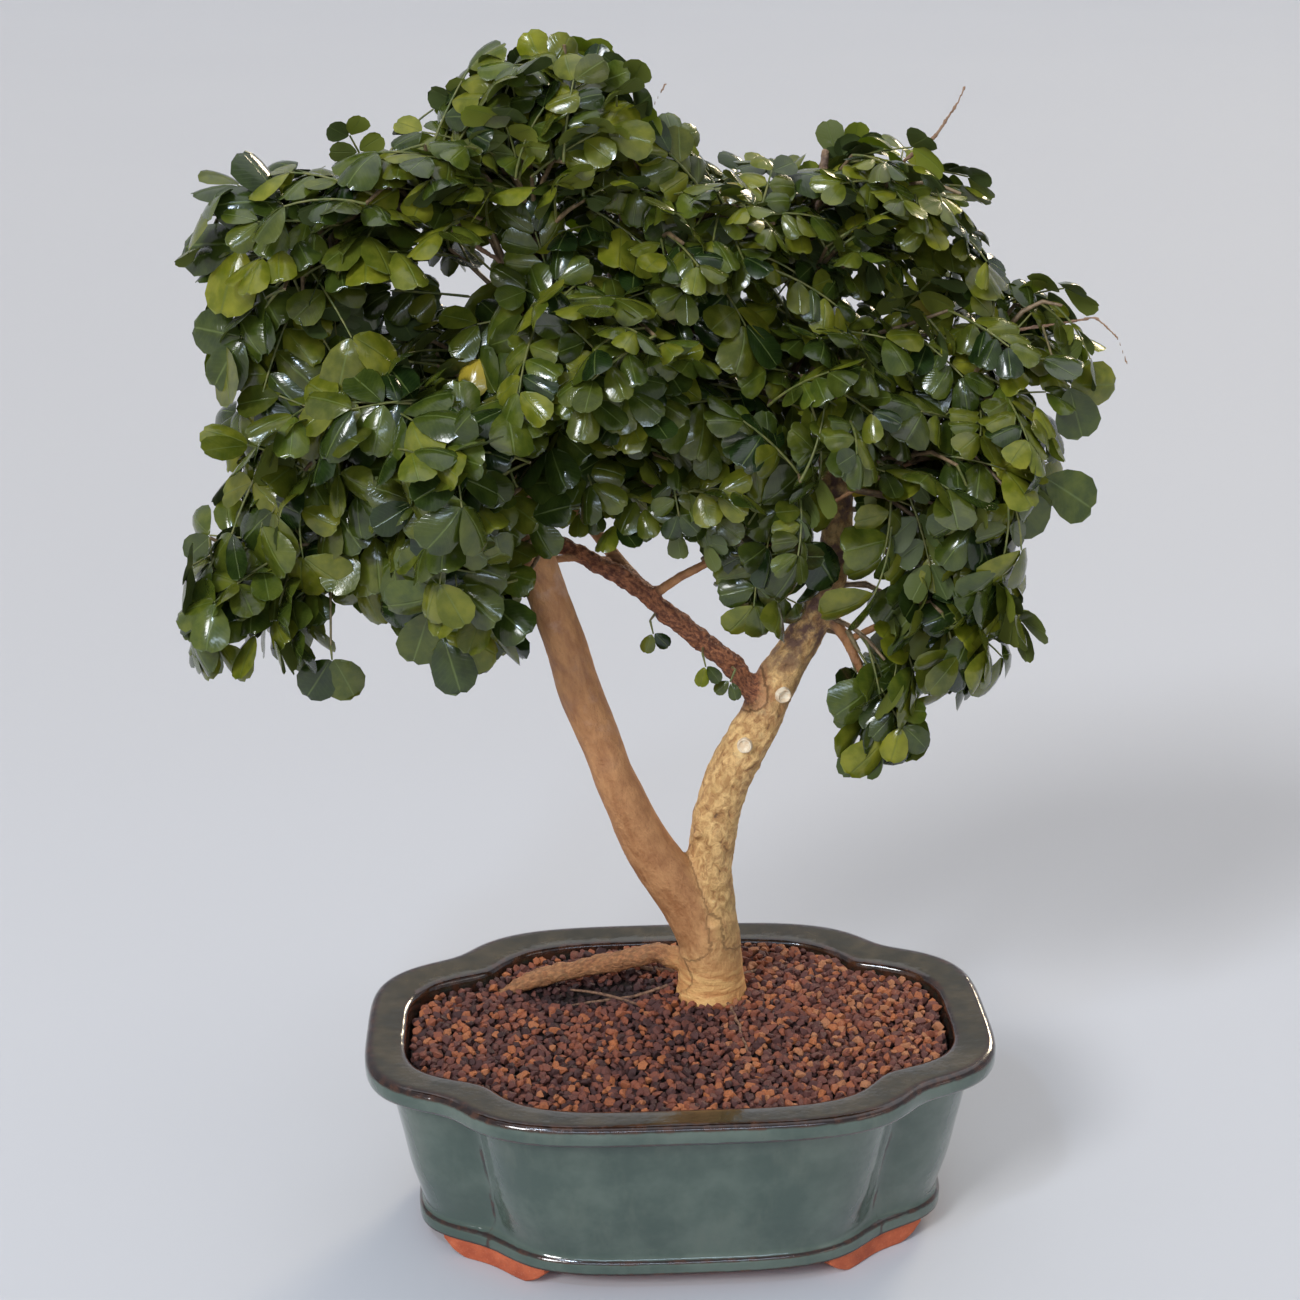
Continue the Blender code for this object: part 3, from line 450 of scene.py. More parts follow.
# Stem of such a shoot: pull of its goal to the front, spread, power and loss of the goal's
# depth, step back to its branch, its start in the wood, lift and places of its points
GOAL_FRONT = 0.25
GOAL_SPREAD = (0.45, 0.95)
GOAL_POWER = 0.6
GOAL_LOSS = 0.16
BRANCH_STEP = 0.03
STEM_SUNK = 0.001
STEM_LIFT = (-0.05, 0.25)
STEM_PLACES = (0.33, 0.66, 1.0)
# Its leaves: how much they head out, along the stem and astray; pairs on small and large
# ones; spread of size, droop and cup; rib of a leaf without pairs and for each pair
HEAD_OUT = 0.55
HEAD_ALONG = 0.35
HEAD_STRAY = 0.85
SMALL_SIZE = 0.8
SMALL_PAIRS = (2, 3, 3, 4)
LARGE_PAIRS = (2, 3, 3)
SIZE_SPREAD = (0.85, 1.12)
DROOP_SPREAD = (0.3, 0.9)
HANG_DROOP = 0.4
CUP_SPREAD = (0.12, 0.28)
RIB_SHARE = 0.62
PAIR_SHARE = 0.14
TINT_RANGE = (0.15, 0.6)

# Leafy shoots of the solid: leaflet size, number of shoots, pairs of leaflets on the long and
# the short leaf and where on the stem that one starts
SOLID_LEAFLET = 0.86
SHOOT_COUNT = 39
SHOOT_PAIRS = (4, 3)
SHOOT_FORK = 0.6
# Least stem, a leaf's whole length beyond it, how far a second leaf stands apart, and how
# near a face of the blade lies to the middle of the leaf
SHOOT_STEM = 0.012
SHOOT_LEAF = 0.072
SHOOT_APART = 0.022
SHOOT_NEAR = 0.016
# Chord of a leaf over its rib, lift, droop and cup, largest size, tint, and the shares of its
# length that are tried until it stays in the part's box
SHOOT_CHORD = 1.21
SHOOT_LIFT = 0.22
SHOOT_DROOP = 0.5
SHOOT_CUP = 0.2
SHOOT_MOST = 1.2
SHOOT_TINT = 0.35
SHOOT_SHARES = (1, 0.92, 0.84, 0.76)
# How far the tips of these leaves and of the others may pass the part's box, and how far the
# others' may pass the foliage masses
SHOOT_SPARE = 0.003
CROWN_SPARE = 0.002
CROWN_LIMIT = 1.07

# Single leaves at the crown's outline and in its gaps: base and a point that they grow
# towards in millimetres, pairs of leaflets, leaflet size and freshness
LONE_PAIR_LENGTH = 0.016
LONE_REACH = 0.06
LONE_RADII = (0.0007, 0.0006, 0.0005)
LONE_LEAVES = [
    ((-56, 0, 560), (-55, -4, 580), 1, 0.80, 1.0),
    ((-40, -4, 556), (-30, -8, 572), 1, 0.66, 0.3),
    ((-167, -20, 512), (-185, -26, 530), 1, 1.15, 0.2),
    ((-183, -20, 500), (-205, -26, 491), 1, 1.20, 0.5),
    ((-185, -20, 460), (-207, -24, 452), 1, 1.10, 0.0),
    ((-159, -30, 318), (-158, -34, 296), 1, 0.86, 0.1),
    ((-112, -40, 330), (-98, -46, 318), 1, 1.12, 0.2),
    ((165, -8, 390), (174, -14, 364), 1, 1.20, 0.0),
    ((176, 10, 426), (196, 8, 411), 1, 1.05, 0.2),
    ((-12, 20, 309), (-9, 14, 296), 1, 0.42, 0.5),
    ((13, 19, 292), (16, 13, 280), 1, 0.38, 0.5),
    ((29, 20, 283), (24, 14, 274), 1, 0.40, 0.3),
    ((-93, 15, 467), (-124, 15, 471), 3, 0.62, 0.3),
    ((-98, 20, 447), (-125, 20, 457), 3, 0.62, 0.1),
    ((-128, 30, 463), (-107, 30, 449), 3, 0.60, 0.2),
    ((126, 35, 448), (98, 35, 456), 3, 0.50, 0.3),
    ((94, 45, 442), (114, 45, 456), 3, 0.50, 0.1),
]

# Lights: name, kind, place over the pot, size or angle, power and colour; width of the strips
LIGHTS = [
    ("window", "SUN", (-1.0, -1.2, 1.5), 0.26, 1.60, (0.97, 0.98, 1.0)),
    ("overhead", "SUN", (0.2, 0.3, 1.8), 1.2, 0.75, (0.92, 0.95, 1.0)),
    ("fill", "SUN", (1.5, -1.3, 0.8), 0.55, 0.40, (1.0, 0.95, 0.88)),
    ("back_warm", "SUN", (0.7, 1.2, 0.9), 0.30, 1.8, (1.0, 0.84, 0.60)),
    ("glint", "AREA", (-0.45, -0.75, 1.2), 0.10, 3.0, (0.66, 0.80, 1.0)),
    ("front_strip", "AREA", (0.0, -1.5, 1.05), 1.20, 4.5, (0.66, 0.80, 1.0)),
]
STRIP_WIDTH = 0.10
LIT_HEIGHT = 0.32
AIR_COLOUR = (0.90, 0.93, 1.0, 1)
AIR_STRENGTH = 0.42

# Camera, fitted to the photo: lens and sensor in millimetres, place over the pot, and the
# ways to its right, up and ahead
CAMERA_LENS = 63.48
CAMERA_SENSOR = 36
CAMERA_CLIP = 400
CAMERA_PLACE = (-0.0621, -1.0095, 0.673)
CAMERA_RIGHT = (0.99871, -0.05048, -0.00544)
CAMERA_UP = (0.02253, 0.34446, 0.93853)
CAMERA_AHEAD = (0.04550, 0.93744, -0.34515)

# Floor: radii of the rings of its flat part, radius and steps of its bend, height of its edge
# and sides
FLOOR_RINGS = (0.5, 2.0, 8.0, 26.0)
FLOOR_BEND = 12.0
BEND_STEPS = 16
FLOOR_WALL = 14.0
FLOOR_SIDES = 96


def over_pot(x, y, z):
    """A place given in millimetres over the middle of the pot."""
    return Vector((x, y, z)) * MM + POT_MIDDLE


def mesh_piece(name, bm, sharp=40):
    """A new object that holds the bmesh, smooth except at its sharper edges."""
    mesh = bpy.data.meshes.new(name)
    bm.to_mesh(mesh)
    bm.free()
    mesh.polygons.foreach_set("use_smooth", [True] * len(mesh.polygons))
    mesh.set_sharp_from_angle(angle=math.radians(sharp))
    piece = bpy.data.objects.new(name, mesh)
    bpy.context.scene.collection.objects.link(piece)
    return piece


def skin(bm, rows):
    """The faces between each ring of corners and the next."""
    faces = []
    for below, above in zip(rows, rows[1:]):
        for i in range(len(below)):
            j = (i + 1) % len(below)
            faces.append(bm.faces.new((below[i], below[j], above[j], above[i])))
    return faces


def fan(bm, ring, hub):
    """The faces between a ring of corners and one corner inside it."""
    return [bm.faces.new((ring[i], ring[(i + 1) % len(ring)], hub)) for i in range(len(ring))]


def shape_group(name):
    """A new collection for the shapes that the growth nodes pick from."""
    group = bpy.data.collections.new(name)
    bpy.context.scene.collection.children.link(group)
    return group


def keep_shape(piece, group):
    """Move a piece from the scene into a collection of shapes."""
    bpy.context.scene.collection.objects.unlink(piece)
    group.objects.link(piece)


def with_modifier(piece, kind, **settings):
    """Run one modifier on the piece and keep its result as a plain mesh."""
    change = piece.modifiers.new(kind.lower(), kind)
    for name, value in settings.items():
        setattr(change, name, value)
    return settle(piece)


def settle(piece):
    """Turn the piece's modifiers into a plain mesh."""
    bpy.context.view_layer.update()
    shown = piece.evaluated_get(bpy.context.evaluated_depsgraph_get())
    mesh = bpy.data.meshes.new_from_object(shown)
    piece.modifiers.clear()
    old = piece.data
    piece.data = mesh
    bpy.data.meshes.remove(old)
    mesh.name = piece.name
    return piece


def finished(piece, slot, *nodes, finishes=()):
    """Give the piece its finishes and fit it to the frame."""
    if finishes:
        piece.data.materials.clear()
        for finish in finishes:
            piece.data.materials.append(finish)
    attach(piece, "root")
    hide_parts(*nodes)
    return piece


class Value:
    """A socket's number or colour; arithmetic on it adds Math nodes."""

    def __init__(self, nodes, socket):
        self.nodes = nodes
        self.socket = socket

    def math(self, operation, first, second=0.0):
        return self.nodes.add("ShaderNodeMath", {"operation": operation}, {0: first, 1: second})

    def __add__(self, other):
        return self.math("ADD", self, other)

    def __sub__(self, other):
        return self.math("SUBTRACT", self, other)

    def __rsub__(self, other):
        return self.math("SUBTRACT", other, self)

    def __mul__(self, other):
        return self.math("MULTIPLY", self, other)

    def __abs__(self):
        return self.math("ABSOLUTE", self)

    __radd__ = __add__

    def wave(self):
        return self.math("SINE", self)

    def fraction(self):
        return self.math("FRACT", self)


class Nodes:
    """A node tree that is filled one node at a time."""

    def __init__(self, tree):
        self.tree = tree

    def add(self, kind, settings=None, sockets=None, output=0):
        """One node: its settings first, then its sockets' values or links."""
        node = self.tree.nodes.new(kind)
        for name, value in (settings or {}).items():
            if name == "stops":
                set_stops(node.color_ramp.elements, value)
            else:
                setattr(node, name, value)
        for name, value in (sockets or {}).items():
            if isinstance(value, Value):
                self.tree.links.new(value.socket, shown_socket(node.inputs, name))
            else:
                shown_socket(node.inputs, name).default_value = value
        return Value(self, shown_socket(node.outputs, output)) if len(node.outputs) else None


def shown_socket(sockets, name):
    """The socket in use that has this name or number."""
    if isinstance(name, int):
        return sockets[name]
    return next(socket for socket in sockets if socket.name == name and socket.enabled)


def set_stops(elements, stops):
    """Fill a colour ramp with (place, colour) stops."""
    while len(elements) > 1:
        elements.remove(elements[-1])
    for i, (place, colour) in enumerate(stops):
        stop = elements[0] if i == 0 else elements.new(place)
        stop.position = place
        stop.color = (*colour, 1)


class Finish(Nodes):
    """One finish of the plant: a material and the patterns that it is made of."""

    def __init__(self, name):
        self.material = bpy.data.materials.new(name)
        self.material.use_nodes = True
        super().__init__(self.material.node_tree)
        self.tree.nodes.clear()
        self.place = self.add("ShaderNodeTexCoord", output="Object")

    def noise(self, scale, detail=3.0, rough=0.55, place=None, twist=0.0):
        sockets = {"Vector": place or self.place, "Scale": scale, "Detail": detail}
        sockets.update({"Roughness": rough, "Distortion": twist})
        return self.add("ShaderNodeTexNoise", {}, sockets, "Fac")

    def cells(self, scale):
        sockets = {"Vector": self.place, "Scale": scale}
        return self.add("ShaderNodeTexVoronoi", {}, sockets, "Distance")

    def stretched(self, x, y, z, place=None):
        sockets = {0: place or self.place, 1: (x, y, z)}
        return self.add("ShaderNodeVectorMath", {"operation": "MULTIPLY"}, sockets)

    def axis(self, name, place=None):
        return self.add("ShaderNodeSeparateXYZ", {}, {0: place or self.place}, name)

    def attribute(self, name, output="Fac"):
        return self.add("ShaderNodeAttribute", {"attribute_name": name}, {}, output)

    def step(self, value, low, high, start=0.0, end=1.0):
        """Smoothly from start to end as the value goes from low to high."""
        sockets = {0: value, 1: low, 2: high, 3: start, 4: end}
        return self.add("ShaderNodeMapRange", {"interpolation_type": "SMOOTHSTEP"}, sockets)

    def mix(self, factor, first, second):
        sides = [c if isinstance(c, Value) else (*c, 1) for c in (first, second)]
        sockets = {0: factor, 6: sides[0], 7: sides[1]}
        return self.add("ShaderNodeMix", {"data_type": "RGBA"}, sockets, 2)

    def ramp(self, value, stops):
        return self.add("ShaderNodeValToRGB", {"stops": stops}, {0: value})

    def bump(self, height, depth, strength=1.0):
        sockets = {"Height": height, "Distance": depth, "Strength": strength}
        return self.add("ShaderNodeBump", {}, sockets)

    def principled(self, colour, roughness, normal=None, **constants):
        sockets = {"Base Color": colour, "Roughness": roughness}
        if normal:
            sockets["Normal"] = normal
        sockets.update({name.replace("_", " "): value for name, value in constants.items()})
        return self.add("ShaderNodeBsdfPrincipled", {}, sockets)

    def done(self, surface):
        self.add("ShaderNodeOutputMaterial", {}, {"Surface": surface})
        return self.material


# Finishes


def teal_glaze():
    """Glossy teal glaze that breaks to brown where it runs thin."""
    f = Finish("teal_glaze")
    thin = f.attribute("thin")
    lip = f.attribute("lip")
    cloud = f.noise(28, 4, 0.6)
    flow = f.noise(60, 4, 0.65, f.stretched(1, 1, 0.25))
    teal = f.mix(f.step(cloud, 0.35, 0.68), (0.054, 0.083, 0.066), (0.098, 0.131, 0.105))
    teal = f.mix(f.step(flow, 0.50, 0.75, 0.0, 0.45), teal, (0.120, 0.145, 0.112))
    olive = f.mix(f.step(flow, 0.35, 0.7), (0.030, 0.025, 0.012), (0.068, 0.050, 0.023))
    body = f.mix(lip, teal, olive)
    wander = f.noise(170, 3, 0.6)
    edge = f.step(thin + (wander - 0.5) * 0.55, 0.42, 0.85)
    brown = f.mix(f.step(wander, 0.4, 0.7), (0.014, 0.006, 0.005), (0.060, 0.023, 0.012))
    colour = f.mix(edge, body, brown)
    specks = f.step(f.cells(900), 0.10, 0.18, 1.0, 0.0)
    colour = f.mix(specks * f.step(f.noise(90), 0.55, 0.65) * 0.6, colour, (0.030, 0.028, 0.022))
    height = f.noise(95, 2) + f.noise(420, 2) * 0.15
    normal = f.bump(height, 0.0009, 0.6)
    rough = f.step(flow, 0.3, 0.7, 0.10, 0.19)
    shine = {"Coat_Weight": 0.5, "Coat_Roughness": 0.05, "IOR": 1.52}
    return f.done(f.principled(colour, rough, normal, **shine))


def bare_clay():
    """Fired red clay without glaze, a little stained."""
    f = Finish("bare_clay")
    cloud = f.noise(70, 5, 0.6)
    fine = f.noise(900, 3, 0.7)
    colour = f.mix(f.step(cloud, 0.3, 0.7), (0.40, 0.075, 0.028), (0.62, 0.150, 0.060))
    colour = f.mix(f.step(fine, 0.55, 0.75, 0.0, 0.5), colour, (0.70, 0.30, 0.17))
    normal = f.bump(fine + cloud, 0.0006, 0.7)
    return f.done(f.principled(colour, f.step(cloud, 0.3, 0.7, 0.75, 0.92), normal))


def drain_plastic():
    """Black plastic mesh, faintly ribbed."""
    f = Finish("drain_plastic")
    ribs = (f.axis("X") * 2500).wave() * (f.axis("Y") * 2500).wave()
    colour = f.mix(f.noise(500), (0.010, 0.010, 0.011), (0.030, 0.030, 0.032))
    return f.done(f.principled(colour, 0.45, f.bump(ribs, 0.0003, 0.5)))


def wet_soil():
    """Dark soil under the grains, painted near black as the shade in the gaps between grains and in the
    hollow under the root.
    """
    f = Finish("wet_soil")
    crumb = f.noise(700, 5, 0.7)
    colour = f.mix(f.step(crumb, 0.35, 0.7), (0.008, 0.005, 0.004), (0.045, 0.022, 0.015))
    return f.done(f.principled(colour, 0.9, f.bump(crumb, 0.0012)))


def gravel_stone():
    """Fired clay and lava grains, from purple brown through rust to tan."""
    f = Finish("gravel_stone")
    tint = f.attribute("tint")
    pores = f.noise(1500, 4, 0.7)
    stops = [
        (0.0, (0.022, 0.010, 0.011)),
        (0.20, (0.096, 0.034, 0.029)),
        (0.45, (0.180, 0.058, 0.039)),
        (0.66, (0.300, 0.086, 0.040)),
        (0.84, (0.460, 0.145, 0.048)),
        (1.0, (0.420, 0.200, 0.100)),
    ]
    colour = f.ramp(tint, stops)
    colour = f.mix(f.step(pores, 0.30, 0.52, 0.55, 0.0), colour, (0.012, 0.008, 0.008))
    colour = f.mix(f.step(pores, 0.62, 0.8, 0.0, 0.35), colour, (0.36, 0.22, 0.15))
    normal = f.bump(pores, 0.0007, 0.8)
    return f.done(f.principled(colour, f.step(pores, 0.3, 0.7, 0.55, 0.85), normal))


def tree_bark():
    """Bark: smooth orange brown on one stem, cracked cream on the other, dark on the cross."""
    f = Finish("tree_bark")
    gnarl = f.attribute("gnarl")
    dark = f.attribute("dark")
    grain = f.attribute("grain", "Vector")
    height = f.axis("Z")
    streak = f.noise(210, 5, 0.62, f.stretched(1, 1, 0.4, grain), 0.4)
    fine = f.noise(620, 4, 0.65, f.stretched(1, 1, 0.6, grain))
    patch = f.noise(55, 4, 0.62)
    high = f.step(height, 0.20, 0.32)
    smooth = f.mix(f.step(streak, 0.25, 0.75), (0.34, 0.140, 0.050), (0.56, 0.280, 0.115))
    smooth = f.mix(f.step(patch, 0.46, 0.72, 0.0, 0.45) * high, smooth, (0.28, 0.160, 0.125))
    smooth = f.mix(f.step(patch, 0.25, 0.45, 0.45, 0.0) * high, smooth, (0.60, 0.40, 0.31))
    smooth = f.mix(f.step(fine, 0.58, 0.72, 0.0, 0.35), smooth, (0.22, 0.095, 0.045))
    ridges = f.noise(250, 6, 0.66, f.stretched(1, 1, 0.8, grain), 0.6)
    blots = f.noise(120, 4, 0.6, grain)
    cream = f.mix(f.step(ridges, 0.36, 0.66), (0.44, 0.220, 0.076), (0.88, 0.57, 0.235))
    cream = f.mix(f.step(blots, 0.45, 0.70, 0.0, 0.55), cream, (0.46, 0.26, 0.085))
    cream = f.mix(f.step(blots, 0.26, 0.42, 0.5, 0.0), cream, (0.88, 0.68, 0.33))
    # Painted shade: the right side of the stump and of the right stem's foot is dulled to a darker
    # greenish tan, in patches
    shade = f.step(f.axis("X") - height * 0.28, -0.022, 0.002) * f.step(patch, 0.35, 0.65, 0.2, 0.75)
    cream = f.mix(shade * f.step(height, 0.26, 0.20, 0.0, 1.0), cream, (0.36, 0.26, 0.095))
    cream = f.mix(f.step(height, 0.265, 0.30) * f.step(blots, 0.40, 0.60), cream, (0.20, 0.105, 0.080))
    cracks = f.step(ridges, 0.30, 0.40, 0.8, 0.0)
    cream = f.mix(cracks, cream, (0.105, 0.052, 0.024))
    colour = f.mix(gnarl, smooth, cream)
    rough = f.mix(f.step(fine, 0.35, 0.7), (0.120, 0.036, 0.018), (0.47, 0.180, 0.074))
    colour = f.mix(dark, colour, rough)
    crown = f.step(height, 0.34, 0.44, 0.0, 0.65)
    colour = f.mix(crown, colour, f.mix(f.step(fine, 0.3, 0.7), (0.13, 0.085, 0.060), (0.36, 0.26, 0.19)))
    aside = abs(f.axis("X") - (POT_MIDDLE.x + STUMP[0][0] * MM))
    base = f.step(height, 0.112, 0.136, 1.0, 0.0) * f.step(aside, 0.019, 0.026, 1.0, 0.0)
    rings = f.noise(260, 4, 0.6, f.stretched(0.3, 0.3, 1.5))
    pale = f.mix(f.step(rings, 0.35, 0.65), (0.66, 0.285, 0.090), (0.95, 0.57, 0.21))
    colour = f.mix(base * 0.75, colour, pale)
    relief = streak * (1 - gnarl) * 0.4 + ridges * (gnarl + dark) + fine * 0.4 + rings * base * 0.5
    normal = f.bump(relief, 0.0022, 0.9)
    return f.done(f.principled(colour, f.step(streak, 0.3, 0.7, 0.55, 0.8), normal))


def cut_wood():
    """A pruning cut: pale healed wood."""
    f = Finish("cut_wood")
    rings = f.noise(420, 4, 0.6)
    colour = f.mix(f.step(rings, 0.35, 0.7), (0.70, 0.52, 0.33), (0.86, 0.76, 0.58))
    return f.done(f.principled(colour, 0.6, f.bump(rings, 0.0006, 0.6)))


def root_skin():
    """Thin brown roots with soil on them."""
    f = Finish("root_skin")
    crumb = f.noise(500, 4, 0.7)
    colour = f.mix(f.step(crumb, 0.3, 0.7), (0.085, 0.040, 0.024), (0.30, 0.165, 0.095))
    return f.done(f.principled(colour, 0.75, f.bump(crumb, 0.0007)))


def leaf_blade():
    """Glossy leaflets: dark green above, greyer below, lighter along the veins."""
    f = Finish("leaf_blade")
    tint = f.attribute("tint")
    fresh = f.attribute("fresh")
    under = f.attribute("under")
    spot = f.add("ShaderNodeUVMap", {"uv_map": "leaf"})
    along = f.axis("X", spot)
    across = abs(f.axis("Y", spot) - 0.5) * 2
    rows = ((along - across * 0.22) * 11).fraction()
    veins = f.step(abs(rows - 0.5), 0.0, 0.2, 1.0, 0.0) * f.step(across, 0.0, 0.25)
    middle = f.step(across, 0.015, 0.075, 1.0, 0.0)
    cloud = f.noise(130, 3, 0.6)
    dark = f.mix(f.step(cloud, 0.3, 0.7), (0.007, 0.016, 0.004), (0.016, 0.034, 0.006))
    light = f.mix(f.step(cloud, 0.3, 0.7), (0.055, 0.082, 0.009), (0.115, 0.140, 0.014))
    green = f.mix(tint, dark, light)
    # New growth is yellow-green; in the lower right masses the same colour paints the glow of light from
    # behind
    spring_and_backlit = f.mix(f.step(cloud, 0.3, 0.7), (0.20, 0.22, 0.014), (0.40, 0.38, 0.035))
    green = f.mix(fresh, green, spring_and_backlit)
    back = f.mix(fresh, (0.068, 0.095, 0.026), (0.30, 0.32, 0.05))
    colour = f.mix(under, green, back)
    colour = f.mix(middle * 0.45, colour, (0.16, 0.21, 0.05))
    colour = f.mix(veins * 0.05, colour, (0.16, 0.22, 0.06))
    yellow = f.step(tint, 0.985, 0.995) * f.step(along, 0.0, 0.8, 0.35, 0.9)
    colour = f.mix(yellow, colour, (0.50, 0.36, 0.04))
    normal = f.bump(middle * -0.7 + veins * -0.08 + cloud * 0.7, 0.0006, 0.5)
    rough = f.step(cloud, 0.3, 0.7, 0.14, 0.23) + under * 0.30
    blade = f.principled(colour, rough, normal, Coat_Weight=0.3, Coat_Roughness=0.06)
    glow = f.add("ShaderNodeBsdfTranslucent", {}, {"Color": (0.32, 0.42, 0.03, 1)})
    through = 0.08 + fresh * 0.38
    return f.done(f.add("ShaderNodeMixShader", {}, {0: through, 1: blade, 2: glow}))


def green_stalk():
    """Stalks of leaves and shoots: green at the leaves, brown on the wood."""
    f = Finish("green_stalk")
    woody = f.attribute("woody")
    streak = f.noise(300, 4, 0.6)
    green = f.mix(f.step(streak, 0.3, 0.7), (0.075, 0.105, 0.020), (0.19, 0.18, 0.050))
    brown = f.mix(f.step(streak, 0.3, 0.7), (0.13, 0.070, 0.040), (0.30, 0.19, 0.115))
    colour = f.mix(woody, green, brown)
    return f.done(f.principled(colour, 0.5, f.bump(streak, 0.0005)))


def pale_floor():
    """A plain matte pale floor."""
    f = Finish("pale_floor")
    colour = f.mix(f.noise(0.8, 2), (0.53, 0.54, 0.57), (0.55, 0.56, 0.585))
    return f.done(f.principled(colour, 0.85))


# Pot


def lobed_radius(angle, inset, softness):
    """Radius of the pot's outline, and how deep in a notch the angle lies."""

    def rounded(half_x, half_y):
        across = abs(math.cos(angle)) / (half_x - inset)
        along = abs(math.sin(angle)) / (half_y - inset)
        return (across**LOBE_POWER + along**LOBE_POWER) ** (-1 / LOBE_POWER)

    long_lobe = rounded(RIM_LONG_HALF, RIM_LONG_LOBE)
    wide_lobe = rounded(RIM_WIDE_LOBE, RIM_WIDE_HALF)
    top = max(long_lobe, wide_lobe)
    low = min(long_lobe, wide_lobe)
    notch = math.exp(-(((top - low) / NOTCH_WIDTH) ** 2))
    return top + softness * math.log(1 + math.exp((low - top) / softness)), notch


def lobed_ring(inset, z, softness, sides=POT_SIDES):
    """Points of the pot's outline over its middle, with the notch value of each."""
    ring = []
    for i in range(sides):
        turn = 2 * math.pi * i / sides
        angle = math.atan2(RIM_WIDE_HALF * math.sin(turn), RIM_LONG_HALF * math.cos(turn))
        radius, notch = lobed_radius(angle, inset, softness)
        ring.append((Vector((radius * math.cos(angle), radius * math.sin(angle), z)), notch))
    return ring


def make_pot(glaze, clay):
    """The glazed pot, its underside and inside bare."""
    bm = bmesh.new()
    thin = bm.verts.layers.float.new("thin")
    lip = bm.verts.layers.float.new("lip")
    rows = []
    for rings in (BAND_RINGS, WALL_RINGS, LIP_RINGS, INNER_RINGS):
        on_wall = rings is WALL_RINGS or rings is BAND_RINGS
        for inset, z, softness, runs in rings:
            on_top = rings is LIP_RINGS and inset > LIP_TOP_INSET and z > LIP_TOP_Z
            row = []
            for point, notch in lobed_ring(inset, z, softness):
                vert = bm.verts.new(point + POT_MIDDLE)
                vert[thin] = max(runs, NOTCH_THIN * notch if on_wall else 0.0)
                vert[lip] = 1.0 if on_top else 0.0
                row.append(vert)
            rows.append(row)
    skin(bm, rows[: -len(INNER_RINGS)])
    bare = skin(bm, rows[-len(INNER_RINGS) - 1 :])
    for row, z in ((rows[0], FOOT_HEIGHT), (rows[-1], FLOOR_TOP)):
        bare += fan(bm, row, bm.verts.new(POT_MIDDLE + UP * z))
    for face in bare:
        face.material_index = 1
    bmesh.ops.recalc_face_normals(bm, faces=bm.faces)
    pot = mesh_piece("glazed_pot", bm, 50)
    cutter = bmesh.new()
    for x in (-DRAIN_X, DRAIN_X):
        spot = POT_MIDDLE + Vector((x, 0, (FOOT_HEIGHT + FLOOR_TOP) / 2))
        bmesh.ops.create_cone(
            cutter,
            cap_ends=True,
            segments=DRAIN_SIDES,
            radius1=DRAIN_RADIUS,
            radius2=DRAIN_RADIUS,
            depth=2 * FLOOR_TOP,
            matrix=Matrix.Translation(spot),
        )
    drains = mesh_piece("drains", cutter)
    pot.data.materials.append(glaze)
    pot.data.materials.append(clay)
    drains.data.materials.append(clay)
    with_modifier(pot, "BOOLEAN", operation="DIFFERENCE", object=drains, solver="EXACT")
    bpy.data.objects.remove(drains)
    return finished(pot, "glaze", "pot")


def make_feet(clay):
    """Four clay feet bent round the notches of the base, their ends raised."""
    bm = bmesh.new()
    outline = [point for point, _ in lobed_ring(FOOT_INSETS[0], 0, BASE_SOFTNESS, 4 * POT_SIDES)]
    corner = [p for p in outline if FOOT_REACH[0] < p.x < FOOT_REACH[1] and p.y > FOOT_INSETS[0]]
    for side_x in (1, -1):
        for side_y in (1, -1):
            rings = []
            for i in range(FOOT_STATIONS):
                share = i / (FOOT_STATIONS - 1)
                point = corner[round(share * (len(corner) - 1))]
                end = abs(2 * share - 1)
                depth = (FOOT_INSETS[1] - FOOT_INSETS[0]) * (1 - FOOT_END_TAPER * end**3)
                low = FOOT_END_RISE * max(0.0, (end - FOOT_FLAT) / (1 - FOOT_FLAT)) ** 1.6
                section = foot_section(depth, low)
                inward = -point.normalized()
                ring = [point + inward * back + UP * z for back, z in section]
                rings.append([bm.verts.new((side_x * p.x, side_y * p.y, p.z)) for p in ring])
            skin(bm, rings)
            bm.faces.new(rings[0])
            bm.faces.new(rings[-1])
    bmesh.ops.translate(bm, verts=bm.verts, vec=POT_MIDDLE)
    bmesh.ops.recalc_face_normals(bm, faces=bm.faces)
    return finished(mesh_piece("clay_feet", bm, 55), "glaze", "pot", finishes=[clay])


def foot_section(depth, low):
    """A foot's section, its lower edges rounded: distance inwards and height."""
    high = FOOT_HEIGHT + FOOT_SUNK
    edge = min(FOOT_ROUNDING, (high - low) / 3)
    soft = FOOT_SOFT_SHARE * edge
    return [
        (0, high),
        (0, low + edge),
        (soft, low + soft),
        (edge, low),
        (depth - edge, low),
        (depth - soft, low + soft),
        (depth, low + edge),
        (depth, high),
    ]


# Soil


def hollow_share(x, y):
    """How far a place lies in the hollow beside the surface root, from 0 to 1."""
    across = ((x - HOLLOW_AT[0]) / HOLLOW_REACH[0]) ** 2
    along = ((y - HOLLOW_AT[1]) / HOLLOW_REACH[1]) ** 2
    return math.exp(-across - along)


def soil_level(x, y):
    """Height of the soil: a mound at the trunk, a hollow at the root."""
    away = math.hypot(x - STUMP[0][0] * MM, y - STUMP[0][1] * MM)
    mound = SOIL_RISE * math.exp(-((away / SOIL_MOUND) ** 2))
    return SOIL_EDGE_Z + mound - HOLLOW_DEPTH * hollow_share(x, y)


